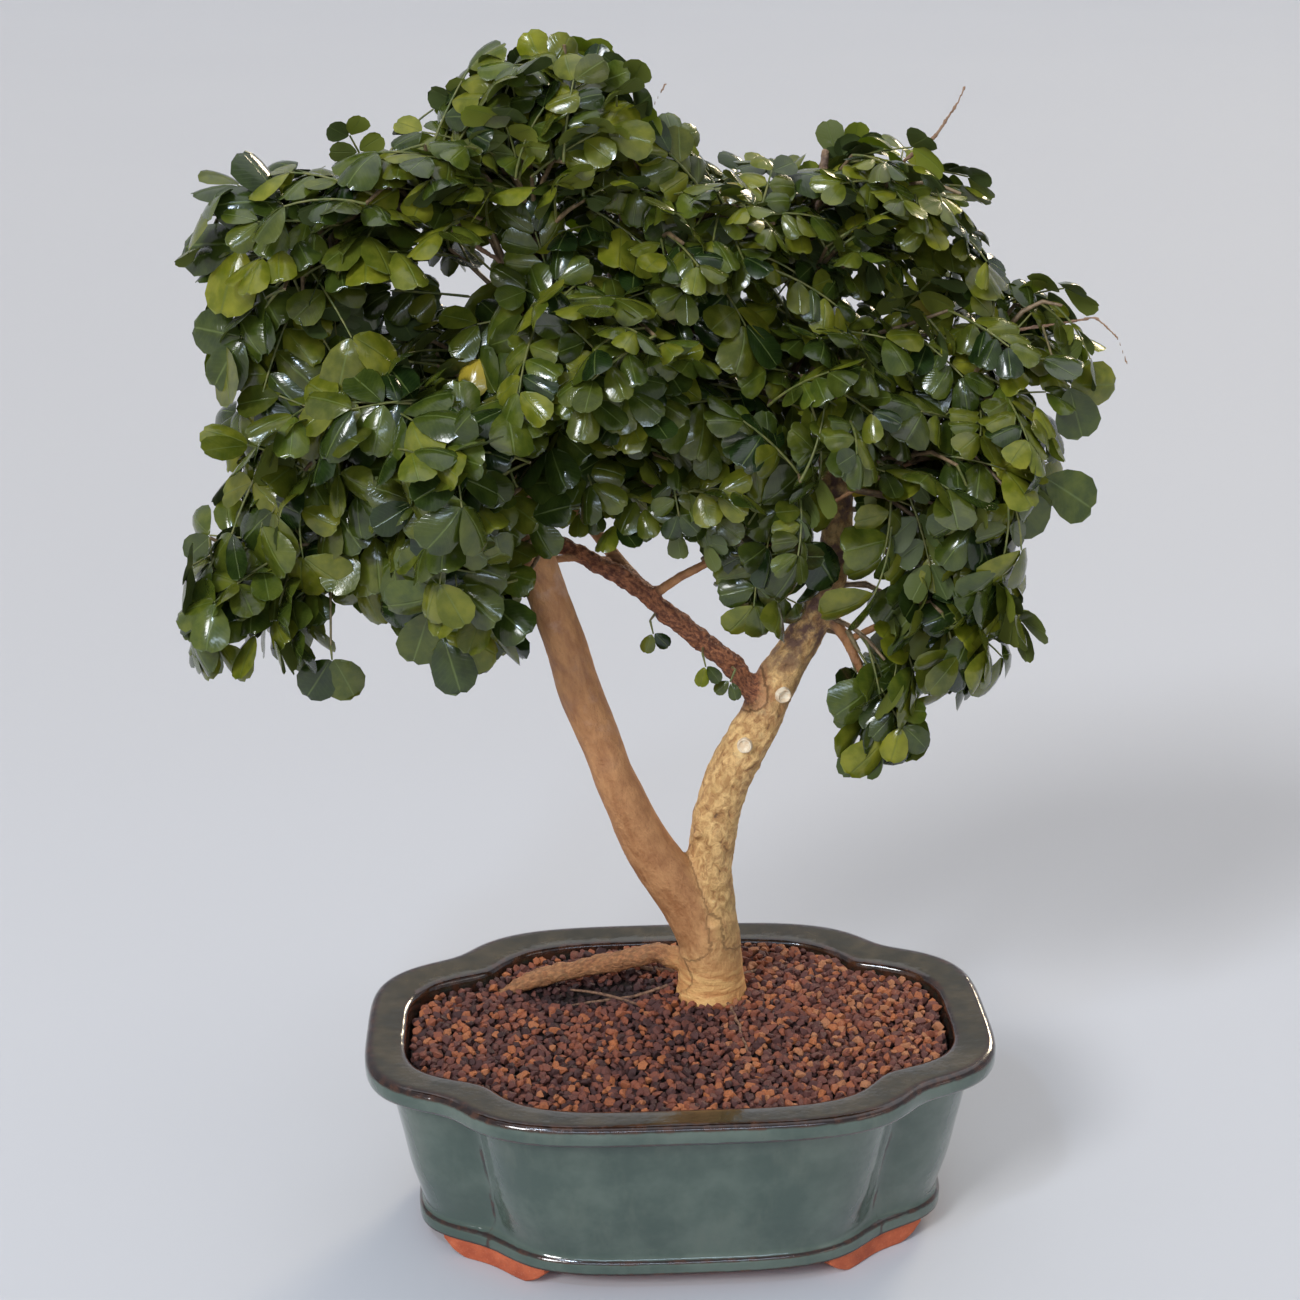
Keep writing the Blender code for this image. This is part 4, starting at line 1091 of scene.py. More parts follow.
def make_soil_bed(finish):
    """The fines under the grains: a closed body that fills the pot."""
    bm = bmesh.new()
    rows = []
    for inset, z in BED_FOOT:
        rows.append([bm.verts.new(p) for p, _ in lobed_ring(inset, z, RIM_SOFTNESS, BED_SIDES)])
    for share in BED_SHARES:
        row = []
        for point, _ in lobed_ring(BED_TOP_INSET, 0, RIM_SOFTNESS, BED_SIDES):
            x, y = point.x * share, point.y * share
            row.append(bm.verts.new((x, y, soil_level(x, y) - BED_DROP)))
        rows.append(row)
    skin(bm, rows)
    bm.faces.new(list(reversed(rows[0])))
    fan(bm, rows[-1], bm.verts.new((0, 0, soil_level(0, 0) - BED_DROP)))
    bmesh.ops.translate(bm, verts=bm.verts, vec=POT_MIDDLE)
    bmesh.ops.recalc_face_normals(bm, faces=bm.faces)
    return finished(mesh_piece("soil_bed", bm), "soil", "soil", finishes=[finish])


def stone_shapes():
    """A collection of angular grains, one unit across."""
    shapes = shape_group("stone_shapes")
    draw = random.Random(SEED)
    for kind in range(GRAIN_KINDS):
        bm = bmesh.new()
        flat = Vector((0.5, 0.5 * draw.uniform(0.72, 0.95), 0.5 * draw.uniform(0.55, 0.8)))
        for _ in range(GRAIN_CORNERS):
            way = Vector((draw.gauss(0, 1), draw.gauss(0, 1), draw.gauss(0, 1))).normalized()
            swell = draw.uniform(0.86, 1.1)
            bm.verts.new([way[k] * flat[k] * swell for k in range(3)])
        bmesh.ops.convex_hull(bm, input=bm.verts)
        loose = [vert for vert in bm.verts if not vert.link_faces]
        bmesh.ops.delete(bm, geom=loose, context="VERTS")
        keep_shape(mesh_piece(f"stone_{kind:02d}", bm, GRAIN_SHARP), shapes)
    return shapes


def make_gravel(name, lift, wood, shapes, growth, finish, seed):
    """One layer of grains, in shaken rows over the whole soil."""
    draw = random.Random(seed)
    layer = Base(name)
    on_top = lift == 0
    rows = int(RIM_WIDE_HALF / GRAIN_PITCH / ROW_SHARE) + 1
    columns = int(RIM_LONG_HALF / GRAIN_PITCH) + 1
    for row in range(-rows, rows + 1):
        for column in range(-columns, columns + 1):
            x = (column + 0.5 * (row % 2) + draw.uniform(-ROW_SHAKE, ROW_SHAKE)) * GRAIN_PITCH
            y = (row * ROW_SHARE + draw.uniform(-ROW_SHAKE, ROW_SHAKE)) * GRAIN_PITCH
            edge = lobed_radius(math.atan2(y, x), GRAIN_INSET, RIM_SOFTNESS)[0]
            if math.hypot(x, y) > edge - 0.35 * GRAIN_PITCH:
                continue
            z = soil_level(x, y) + lift + draw.uniform(*GRAIN_LIFT)
            spot = POT_MIDDLE + Vector((x, y, z))
            found, way, _, away = wood.find_nearest(spot)
            if away < GRAIN_ROOM or (spot - found).dot(way) < 0:
                continue
            size = GRAIN_SIZE * draw.choice(GRAIN_SIZES)
            tilts = [draw.uniform(-GRAIN_TILT, GRAIN_TILT) for _ in range(2)]
            turn = (*tilts, draw.uniform(0, GRAIN_SPIN))
            kind = draw.randrange(GRAIN_KINDS)
            rust = RUST_TINT * min(1.0, max(0.0, (x - RUST_X) / RUST_SPAN))
            tint = TINT_LEAST + TINT_SPAN * draw.random() ** TINT_POWER + rust
            # Grains of the lower layer are drawn darker: painted shade in the gaps between the top grains
            tint = min(TINT_MOST, tint * (1.0 if on_top else UNDER_SHADE))
            # In the hollow under the surface root, top grains are thinned to bare the dark bed and the
            # rest darkened: painted shadow
            deep = min(1.0, HOLLOW_GAIN * hollow_share(x, y))
            if on_top and draw.random() < HOLLOW_THINNED * deep:
                continue
            tint *= 1 - HOLLOW_SHADE * deep
            layer.shape(spot, turn, (size, size, size), kind, tint, 0.0)
    piece = growth.grown(layer, shapes, finish, finish)
    return finished(piece, "soil", "soil")


# Growth: shapes on points and round stalks along edges


class Base:
    """Points and edges that the growth nodes turn into shapes and stalks."""

    def __init__(self, name):
        self.name = name
        self.spots = []
        self.edges = []
        self.facts = []

    def point(self, spot, fact):
        self.spots.append(spot)
        self.facts.append(fact)
        return len(self.spots) - 1

    def shape(self, spot, turn, size, kind, tint, fresh):
        """A point that carries one shape."""
        self.point(spot, (True, turn, size, kind, tint, fresh, 0.0, 0.0))

    def stalk(self, path, radii, woody=0.0):
        """A chain of edges that carries a round stalk."""
        last = None
        for i, spot in enumerate(path):
            place = i / (len(path) - 1) * (len(radii) - 1)
            low = min(int(place), len(radii) - 2)
            radius = radii[low] + (radii[low + 1] - radii[low]) * (place - low)
            here = self.point(spot, (False, (0, 0, 0), (1, 1, 1), 0, 0.5, 0.0, radius, woody))
            if last is not None:
                self.edges.append((last, here))
            last = here

    def mesh(self):
        """The points and edges, with their facts as attributes."""
        mesh = bpy.data.meshes.new(self.name)
        mesh.from_pydata(self.spots, self.edges, [])
        columns = [
            ("blade", "BOOLEAN", "value"),
            ("turn", "FLOAT_VECTOR", "vector"),
            ("size", "FLOAT_VECTOR", "vector"),
            ("kind", "INT", "value"),
            ("tint", "FLOAT", "value"),
            ("fresh", "FLOAT", "value"),
            ("thickness", "FLOAT", "value"),
            ("woody", "FLOAT", "value"),
        ]
        for (name, kind, field), values in zip(columns, zip(*self.facts)):
            layer = mesh.attributes.new(name, kind, "POINT")
            if field == "vector":
                values = [part for value in values for part in value]
            layer.data.foreach_set(field, values)
        return mesh


class Growth(Nodes):
    """The geometry nodes that grow a base into shapes and stalks."""

    SOCKETS = [
        ("Shapes", "NodeSocketCollection", None),
        ("Shape finish", "NodeSocketMaterial", None),
        ("Stalk finish", "NodeSocketMaterial", None),
        ("Stalk sides", "NodeSocketInt", 6),
        ("Stalk thickness", "NodeSocketFloat", 1.0),
        ("Shape size", "NodeSocketFloat", 1.0),
        ("Shake", "NodeSocketFloat", 0.06),
        ("Seed", "NodeSocketInt", SEED),
    ]

    def __init__(self):
        super().__init__(bpy.data.node_groups.new("growth", "GeometryNodeTree"))
        face = self.tree.interface
        face.new_socket("Geometry", in_out="OUTPUT", socket_type="NodeSocketGeometry")
        face.new_socket("Geometry", in_out="INPUT", socket_type="NodeSocketGeometry")
        for name, kind, value in self.SOCKETS:
            socket = face.new_socket(name, in_out="INPUT", socket_type=kind)
            if value is not None:
                socket.default_value = value
        shapes = self.shapes_on_points()
        stalks = self.stalks_on_edges()
        both = self.tree.nodes.new("GeometryNodeJoinGeometry")
        for part in (shapes, stalks):
            self.tree.links.new(part.socket, both.inputs[0])
        self.add("NodeGroupOutput", {}, {"Geometry": Value(self, both.outputs[0])})

    def given(self, name):
        return self.add("NodeGroupInput", output=name)

    def fact(self, name, kind):
        settings = {"data_type": kind}
        return self.add("GeometryNodeInputNamedAttribute", settings, {"Name": name}, "Attribute")

    def split(self, output):
        sockets = {"Geometry": self.given("Geometry"), "Selection": self.fact("blade", "BOOLEAN")}
        return self.add("GeometryNodeSeparateGeometry", {"domain": "POINT"}, sockets, output)

    def shapes_on_points(self):
        """Shapes of the collection on the flagged points, made real."""
        shake = self.given("Shake")
        limits = {"Min": self.spread(shake * -1), "Max": self.spread(shake)}
        limits["Seed"] = self.given("Seed")
        shaken = self.add("FunctionNodeRandomValue", {"data_type": "FLOAT_VECTOR"}, limits, 0)
        turned = {0: self.fact("turn", "FLOAT_VECTOR"), 1: shaken}
        turn = self.add("ShaderNodeVectorMath", {}, turned)
        scaled = {0: self.fact("size", "FLOAT_VECTOR"), "Scale": self.given("Shape size")}
        size = self.add("ShaderNodeVectorMath", {"operation": "SCALE"}, scaled)
        each = {"Separate Children": True, "Reset Children": True}
        each["Collection"] = self.given("Shapes")
        sockets = {
            "Points": self.add("GeometryNodeMeshToPoints", {}, {"Mesh": self.split("Selection")}),
            "Instance": self.add("GeometryNodeCollectionInfo", {}, each),
            "Pick Instance": True,
            "Instance Index": self.fact("kind", "INT"),
            "Rotation": turn,
            "Scale": size,
        }
        placed = self.add("GeometryNodeInstanceOnPoints", {}, sockets)
        real = self.add("GeometryNodeRealizeInstances", {}, {"Geometry": placed})
        return self.dressed(real, "Shape finish")

    def dressed(self, geometry, finish):
        """The geometry with the finish of one of the group's inputs."""
        sockets = {"Geometry": geometry, "Material": self.given(finish)}
        return self.add("GeometryNodeSetMaterial", {}, sockets)

    def spread(self, value):
        return self.add("ShaderNodeCombineXYZ", {}, {0: value, 1: value, 2: value})

    def stalks_on_edges(self):
        """Round stalks along the edges, as thick as each point says."""
        curve = self.add("GeometryNodeMeshToCurve", {}, {"Mesh": self.split("Inverted")})
        radius = self.fact("thickness", "FLOAT") * self.given("Stalk thickness")
        ring = {"Resolution": self.given("Stalk sides"), "Radius": 1.0}
        section = self.add("GeometryNodeCurvePrimitiveCircle", {}, ring)
        swept = {"Curve": curve, "Profile Curve": section, "Scale": radius, "Fill Caps": True}
        bars = self.add("GeometryNodeCurveToMesh", {}, swept)
        return self.dressed(bars, "Stalk finish")

    def grown(self, base, shapes, shape_finish, stalk_finish, **sizes):
        """Run the nodes on a base and keep the result as one plain piece."""
        piece = bpy.data.objects.new(base.name, base.mesh())
        bpy.context.scene.collection.objects.link(piece)
        change = piece.modifiers.new("growth", "NODES")
        change.node_group = self.tree
        values = {"Shapes": shapes, "Shape finish": shape_finish, "Stalk finish": stalk_finish}
        values.update({name.replace("_", " "): value for name, value in sizes.items()})
        for item in self.tree.interface.items_tree:
            if item.in_out == "INPUT" and item.name in values:
                change[item.identifier] = values[item.name]
        return settle(piece)


# Wood


def soft_path(stations, steps=6):
    """Points and radii along a soft curve through stations given in millimetres."""
    rows = [(over_pot(*s[:3]), s[3] * MM) for s in stations]
    path = []
    for i in range(len(rows) - 1):
        before = rows[max(i - 1, 0)]
        after = rows[min(i + 2, len(rows) - 1)]
        for k in range(steps):
            t = k / steps
            values = []
            for part in (0, 1):
                a, b, c, d = before[part], rows[i][part], rows[i + 1][part], after[part]
                square = (a * 2 - b * 5 + c * 4 - d) * t**2
                cube = (b * 3 - a - c * 3 + d) * t**3
                values.append(b + ((c - a) * t + square + cube) * 0.5)
            path.append(tuple(values))
    path.append(rows[-1])
    return path


def path_frames(path):
    """A side and a cross direction at every point of a path, turned as little as can be."""
    frames = []
    side = Vector((1, 0, 0))
    for i in range(len(path)):
        ahead = (path[min(i + 1, len(path) - 1)][0] - path[max(i - 1, 0)][0]).normalized()
        side = (side - ahead * side.dot(ahead)).normalized()
        frames.append((side.copy(), ahead.cross(side), ahead))
    return frames


def round_bar(bm, path):
    """A closed round bar along a path, a little thicker than the solid's, added to the bmesh."""
    rings = []
    for (centre, radius), (side, cross, _) in zip(path, path_frames(path)):
        ring = []
        for k in range(STEM_SIDES):
            turn = 2 * math.pi * k / STEM_SIDES
            way = side * math.cos(turn) + cross * math.sin(turn)
            ring.append(bm.verts.new(centre + way * radius * STEM_SWELL))
        rings.append(ring)
    skin(bm, rings)
    bm.faces.new(list(reversed(rings[0])))
    bm.faces.new(rings[-1])


def closed_copy(node):
    """A bmesh of a CAD node, its doubled points merged."""
    bm = bmesh.new()
    bm.from_mesh(frame["nodes"][node].data)
    bmesh.ops.remove_doubles(bm, verts=bm.verts, dist=SAME_POINT)
    return bm


def node_surface(node):
    """A search tree over a CAD node's faces."""
    bm = closed_copy(node)
    bmesh.ops.recalc_face_normals(bm, faces=bm.faces)
    found = BVHTree.FromBMesh(bm)
    bm.free()
    return found


def make_wood(finish):
    """Stump, stems and branches in one skin, with the relief of their bark."""
    bm = closed_copy("trunk")
    for stations, _, _ in BARK_KINDS:
        round_bar(bm, soft_path(stations))
    wood = mesh_piece("bark_wood", bm)
    with_modifier(wood, "REMESH", mode="VOXEL", voxel_size=BARK_VOXEL, use_smooth_shade=True)
    with_modifier(wood, "SMOOTH", factor=0.5, iterations=3)
    bm = bmesh.new()
    bm.from_mesh(wood.data)
    tracks = []
    for stations, gnarl, dark in BARK_KINDS:
        path = soft_path(stations)
        walked = 0.0
        for i, ((centre, radius), axes) in enumerate(zip(path, path_frames(path))):
            walked += (centre - path[max(i - 1, 0)][0]).length
            tracks.append((centre, radius, axes, walked, gnarl, dark))
    finder = kdtree.KDTree(len(tracks))
    for i, track in enumerate(tracks):
        finder.insert(track[0], i)
    finder.balance()
    gnarls = bm.verts.layers.float.new("gnarl")
    darks = bm.verts.layers.float.new("dark")
    grains = bm.verts.layers.float_vector.new("grain")
    moves = []
    for vert in bm.verts:
        near = finder.find_n(vert.co, BARK_NEAR)
        weights = [(BARK_FADE + away) ** -4 for _, _, away in near]
        total = sum(weights)
        gnarl = sum(w * tracks[i][4] for w, (_, i, _) in zip(weights, near)) / total
        dark = sum(w * tracks[i][5] for w, (_, i, _) in zip(weights, near)) / total
        centre, radius, (side, cross, ahead), walked, _, _ = tracks[near[0][1]]
        off = vert.co - centre
        twig = min(1.0, max(0.0, (off.length - radius * TWIG_RADII) / TWIG_FADE))
        vert[gnarls] = gnarl * (1 - twig)
        vert[darks] = max(dark, 0.0) * (1 - twig)
        grain = Vector((off.dot(side), off.dot(cross), walked + off.dot(ahead)))
        vert[grains] = grain
        moves.append(vert.normal * bark_relief(vert.co, grain, gnarl, dark, twig))
    for vert, move in zip(bm.verts, moves):
        vert.co += move
    bm.to_mesh(wood.data)
    bm.free()
    return finished(wood, "bark", "trunk", finishes=[finish])


def bark_relief(spot, grain, gnarl, dark, twig):
    """How far the bark stands out at a spot: each pattern has a scale and then a depth."""
    calm = noise.noise(spot * 55) * 0.0004 + noise.noise(spot * 170) * 0.00018
    lumps = noise.noise(spot * 62 + Vector((3, 1, 7))) * 0.0013
    long = Vector((grain.x * 210, grain.y * 210, grain.z * 150))
    ridges = noise.fractal(long, 0.9, 2.1, 4) * 0.00060
    rough = noise.fractal(spot * 190, 0.8, 2.0, 3) * 0.00110
    low = max(0.0, 1 - abs(spot.z - 0.112) / 0.017)
    rings = noise.noise(Vector((spot.x * 30, spot.y * 30, spot.z * 420))) * 0.0005 * low
    return (calm + (lumps + ridges) * gnarl + rough * dark + rings) * (1 - 0.85 * twig)


def make_scars(wood, finish):
    """Pruning cuts: a pale disc inside a raised ring of healed bark."""
    bm = bmesh.new()
    for spot, radius in SCARS:
        face, way, _, _ = wood.find_nearest(over_pot(*spot))
        side = way.cross(UP).normalized()
        cross = side.cross(way)
        rings = []
        for share, lift in SCAR_PROFILE:
            ring = []
            for k in range(SCAR_SIDES):
                turn = 2 * math.pi * k / SCAR_SIDES
                run, rise = math.cos(turn), math.sin(turn)
                shake = 1 + SCAR_SHAKE * noise.noise(Vector((run * 2, rise * 2, radius)))
                out = (side * run + cross * rise) * radius * MM * share * shake
                ring.append(bm.verts.new(face + out + way * (lift + SCAR_LIFT)))
            rings.append(ring)
        hub = bm.verts.new(face + way * (SCAR_MIDDLE + SCAR_LIFT))
        deep = bm.verts.new(face - way * SCAR_DEPTH)
        for k in range(SCAR_SIDES):
            j = (k + 1) % SCAR_SIDES
            bm.faces.new((hub, rings[0][k], rings[0][j]))
            bm.faces.new((deep, rings[-1][j], rings[-1][k]))
            for one, two in zip(rings, rings[1:]):
                bm.faces.new((one[k], two[k], two[j], one[j]))
    bmesh.ops.recalc_face_normals(bm, faces=bm.faces)
    return finished(mesh_piece("pruning_scars", bm), "bark", "trunk", finishes=[finish])


def make_roots(growth, shapes, finish):
    """Thin roots that run over the soil."""
    base = Base("fine_roots")
    for root in FINE_ROOTS:
        path = soft_path(root, ROOT_STEPS)
        spots = []
        for spot, _ in path:
            wave = noise.noise(spot * ROOT_WAVES) * ROOT_SWAY
            spots.append(spot + Vector((wave, -wave, 0.4 * wave)))
        base.stalk(spots, [radius for _, radius in path])
    piece = growth.grown(base, shapes, finish, finish, Stalk_sides=8)
    return finished(piece, "bark", "trunk")


# Foliage


def leaflet_shapes():
    """A collection of leaflets of unit length: thin closed blades, each bent its own way."""
    shapes = shape_group("leaflet_shapes")
    for kind, bends in enumerate(LEAFLET_KINDS):
        bm = bmesh.new()
        under = bm.faces.layers.float.new("under")
        uv = bm.loops.layers.uv.new("leaf")
        tops = [[leaflet_point(bends, s, k / 2, 1) for k in range(-2, 3)] for s in LEAFLET_OUTLINE]
        lows = [leaflet_point(bends, s, 0.0, -1) for s in LEAFLET_OUTLINE]
        top = [[bm.verts.new(spot) for spot in row] for row in tops]
        low = [bm.verts.new(spot) for spot in lows]
        places = {}
        for row, below, (along, _) in zip(top, low, LEAFLET_OUTLINE):
            places.update({vert: (along, k / 4) for k, vert in enumerate(row)})
            places[below] = (along, 0.5)
        for i in range(len(top) - 1):
            for k in range(4):
                bm.faces.new((top[i][k], top[i][k + 1], top[i + 1][k + 1], top[i + 1][k]))
            for edge in (0, 4):
                corners = (top[i][edge], low[i], low[i + 1], top[i + 1][edge])
                bm.faces.new(corners if edge else corners[::-1])[under] = 1.0
        for face in bm.faces:
            for loop in face.loops:
                loop[uv].uv = places[loop.vert]
        for row in (0, -1):
            for k, m in ((0, 2), (2, 4)):
                face = bm.faces.new((top[row][k], top[row][k + 1], top[row][m], low[row]))
                face[under] = 1.0
                for loop in face.loops:
                    loop[uv].uv = (LEAFLET_OUTLINE[row][0], 0.5)
        bmesh.ops.recalc_face_normals(bm, faces=bm.faces)
        keep_shape(mesh_piece(f"leaflet_{kind:02d}", bm, LEAFLET_SHARP), shapes)
    return shapes


def leaflet_point(bends, station, side, top):
    """A point of a leaflet of unit length; side runs from -1 to 1 across it."""
    arch, dome, fold, twist, tip = bends
    along, half = station
    v = side * half
    u = along - (LEAFLET_NOTCH * (1 - abs(side)) if along == 1.0 else 0.0)
    z = arch * (u - ARCH_START) ** 2 + dome * v * v * DOME_GAIN
    z += fold * abs(v) + twist * v * u + tip * u**3
    thick = (1 - side * side) * math.sin(math.pi * min(u + BLADE_SHIFT, BLADE_END))
    return Vector((u, v, z + top * LEAFLET_BLADE * 0.5 * thick))


class LeafFrame:
    """The curved surface that a compound leaf follows."""

    def __init__(self, base, heading, face, length, droop, cup):
        self.base = base
        self.heading = heading.normalized()
        aside = face.cross(self.heading).normalized()
        self.face = self.heading.cross(aside)
        self.aside = aside
        self.curl = droop / (CURL_SPAN * length)
        self.cup = cup

    def at(self, u, v):
        """The place u along the leaf and v to its side."""
        turn = self.curl * u
        run = self.heading * (math.sin(turn) / self.curl)
        fall = self.face * ((1 - math.cos(turn)) / self.curl)
        down = -self.heading * math.sin(turn) - self.face * math.cos(turn)
        return self.base + run - fall + self.aside * v + down * (self.cup * v * v / LEAFLET_LENGTH)


def cell_of(spot):
    """The cell of the grid, as wide as a leaflet's room, that a spot lies in."""
    return tuple(int(c // LEAFLET_ROOM) for c in spot)


class Foliage:
    """All leaves of the crown, kept apart from each other."""

    def __init__(self, draw):
        self.draw = draw
        self.cells = {}

    def crowded(self, spots):
        """Share of the spots that lie too close to a leaflet already placed."""
        close = 0
        for spot in spots:
            near = []
            for step in product((-1, 0, 1), repeat=3):
                near += self.cells.get(tuple(c + s for c, s in zip(cell_of(spot), step)), ())
            close += any((spot - other).length < LEAFLET_ROOM for other in near)
        return close / len(spots)

    def plan(self, base, heading, face, length, pairs, droop, cup, size):
        """The leaflets of one compound leaf: root, tip, a point to one side and their scale."""
        leaf = LeafFrame(base, heading, face, length, droop, cup)
        leaflets = []
        for i in range(pairs):
            share = i / max(pairs - 1, 1)
            along = length * (FIRST_PAIR + PAIR_SPAN * share)
            lean = LAST_LEAN if i == pairs - 1 else LEAFLET_LEAN
            long = LEAFLET_LENGTH * size * (PAIR_SIZE + PAIR_GAIN * share)
            long *= self.draw.uniform(*LENGTH_SPREAD)
            wide = long * LEAFLET_WIDTH / LEAFLET_LENGTH * self.draw.uniform(*WIDTH_SPREAD)
            for side in (-1, 1):
                turned = lean + self.draw.uniform(-LEAFLET_STRAY, LEAFLET_STRAY)
                run, out = math.cos(turned), math.sin(turned) * side
                root = leaf.at(along, side * RIB_OFFSET)
                tip = leaf.at(along + run * long, side * RIB_OFFSET + out * long)
                u, v = along + run * long * 0.5, out * long * 0.5
                middle = leaf.at(u, v)
                flank = leaf.at(u - out * FLANK_STEP, v + run * FLANK_STEP)
                leaflets.append((root, tip, flank - middle, long, wide))
        reach = length * (FIRST_PAIR + (PAIR_SPAN if pairs > 1 else 0))
        rib = [leaf.at(reach * k / RIB_STEPS, 0) for k in range(RIB_STEPS + 1)]
        return leaflets, rib

    def hang(self, base, planned, fresh, tint):
        """Add a planned leaf to a shoot's base."""
        leaflets, rib = planned
        base.stalk(rib, RIB_RADII)
        for root, tip, flank, long, wide in leaflets:
            ahead = (tip - root).normalized()
            up = ahead.cross(flank).normalized()
            roll = self.draw.uniform(-LEAFLET_ROLL, LEAFLET_ROLL)
            up = Matrix.Rotation(roll, 3, ahead) @ up
            cross = up.cross(ahead).normalized()
            turn = Matrix((ahead, cross, up)).transposed().to_euler()
            kind = self.draw.choice(KIND_DRAW)
            own = min(TINT_CAP, max(0.0, tint + self.draw.gauss(0, TINT_SPREAD)))
            own = 1.0 if self.draw.random() < YELLOW_CHANCE else own
            young_and_backlit = min(1.0, max(0.0, fresh * self.draw.choice(FRESH_AND_BACKLIT_DRAW)))
            size = (long, wide / LEAFLET_WIDEST, long)
            base.shape(root, tuple(turn), size, kind, own, young_and_backlit)
            spot = root + ahead * long * LEAFLET_MIDDLE
            self.cells.setdefault(cell_of(spot), []).append(spot)


def spots_of(planned):
    """The middles of a planned leaf's leaflets."""
    return [root + (tip - root) * LEAFLET_MIDDLE for root, tip, *_ in planned[0]]


def mass_of(spot):
    """The foliage mass that a spot lies deepest in, and how deep: under 1 is inside."""
    best = None
    for name, (centre, radii, *_) in MASSES.items():
        off = spot - over_pot(*centre)
        depth = math.sqrt(sum((off[k] / (radii[k] * MM)) ** 2 for k in range(3)))
        if best is None or depth < best[1]:
            best = (name, depth)
    return best


def boxed(planned, spare):
    """Whether a planned leaf's tips stay in the part's box, or nearly."""
    low, high = cad_box
    tips = [tip for _, tip, *_ in planned[0]]
    return all(low[k] - spare < tip[k] < high[k] + spare for tip in tips for k in range(3))


def fits(planned):
    """Whether a planned leaf stays in the crown and in the part's box."""
    inside = all(mass_of(tip)[1] <= CROWN_LIMIT for _, tip, *_ in planned[0])
    return inside and boxed(planned, CROWN_SPARE)


def free_of_wood(planned, wood):
    """Whether the leaflets keep clear of stems and branches."""
    for root, tip, *_ in planned[0]:
        for share in (0.5, 0.95):
            if wood.find_nearest(root + (tip - root) * share)[3] < WOOD_ROOM:
                return False
    return True


def outward_at(spot):
    """The way out of the crown at a spot."""
    return (spot - CROWN_MIDDLE - POT_MIDDLE).normalized()


def stray_way(draw, front=0.0):
    """A random way, pulled to the front by so much."""
    return Vector((draw.gauss(0, 1), draw.gauss(0, 1) - front, draw.gauss(0, 1))).normalized()


def leaf_face(outward, draw):
    """The way a leaf's upper side looks."""
    shown = Vector((0, -1 if draw.random() < FRONT_CHANCE else 1, 0))
    stray = Vector([draw.gauss(0, spread) for spread in FACE_STRAY])
    return UP * FACE_UP + outward * FACE_OUT + shown * FACE_FRONT + stray


def shoot_facts(node, wood):
    """A solid shoot's foot on the wood and the tips of its leaves, the furthest first."""
    corners = [vert.co.copy() for vert in node.data.vertices]
    foot = min(corners, key=lambda c: wood.find_nearest(c)[3])
    tip = max(corners, key=lambda c: (c - foot).length)
    axis = (tip - foot).normalized()

    def apart(corner):
        return (corner - foot).length - (corner - foot).dot(axis)

    second = max(corners, key=apart)
    return foot, [tip, second] if apart(second) > SHOOT_APART else [tip]


def blade_face(node, spot, outward):
    """The way the upper side of a solid shoot's blade looks near a spot."""
    near = [face for face in node.data.polygons if (face.center - spot).length < SHOOT_NEAR]
    wide = max(near or node.data.polygons, key=lambda face: face.area)
    over = wide.normal.dot(UP * FACE_UP + outward * FACE_OUT) > 0
    return wide.normal.copy() if over else -wide.normal


def solid_shoots(foliage, wood):
    """The leafy shoots of the solid with finer leaves: a base and tip for each."""
    shoots = {}
    for number in range(1, SHOOT_COUNT + 1):
        node = frame["nodes"][f"leafy_shoot_{number:02d}"]
        foot, tips = shoot_facts(node, wood)
        stretch = tips[0] - foot
        end = foot + stretch.normalized() * max(SHOOT_STEM, stretch.length - SHOOT_LEAF)
        base = Base(f"foliage_{number:02d}")
        for tip, root, pairs in zip(tips, (end, foot.lerp(end, SHOOT_FORK)), SHOOT_PAIRS):
            way = tip - root
            face = blade_face(node, root.lerp(tip, 0.5), outward_at(tip))
            length = way.length / SHOOT_CHORD
            size = min(SHOOT_MOST, length / LEAF_LENGTH) * SOLID_LEAFLET
            heading = way.normalized() + face * SHOOT_LIFT
            for share in SHOOT_SHARES:
                reach, scale = length * share, size * share
                bends = (SHOOT_DROOP, SHOOT_CUP)
                planned = foliage.plan(root, heading, face, reach, pairs, *bends, scale)
                if boxed(planned, SHOOT_SPARE):
                    break
            foliage.hang(base, planned, MASSES[mass_of(root)[0]][5], SHOOT_TINT)
        base.stalk([foot, foot.lerp(end, 0.5), end], STEM_RADII, 0.6)
        shoots[number] = (base, end)
    return shoots


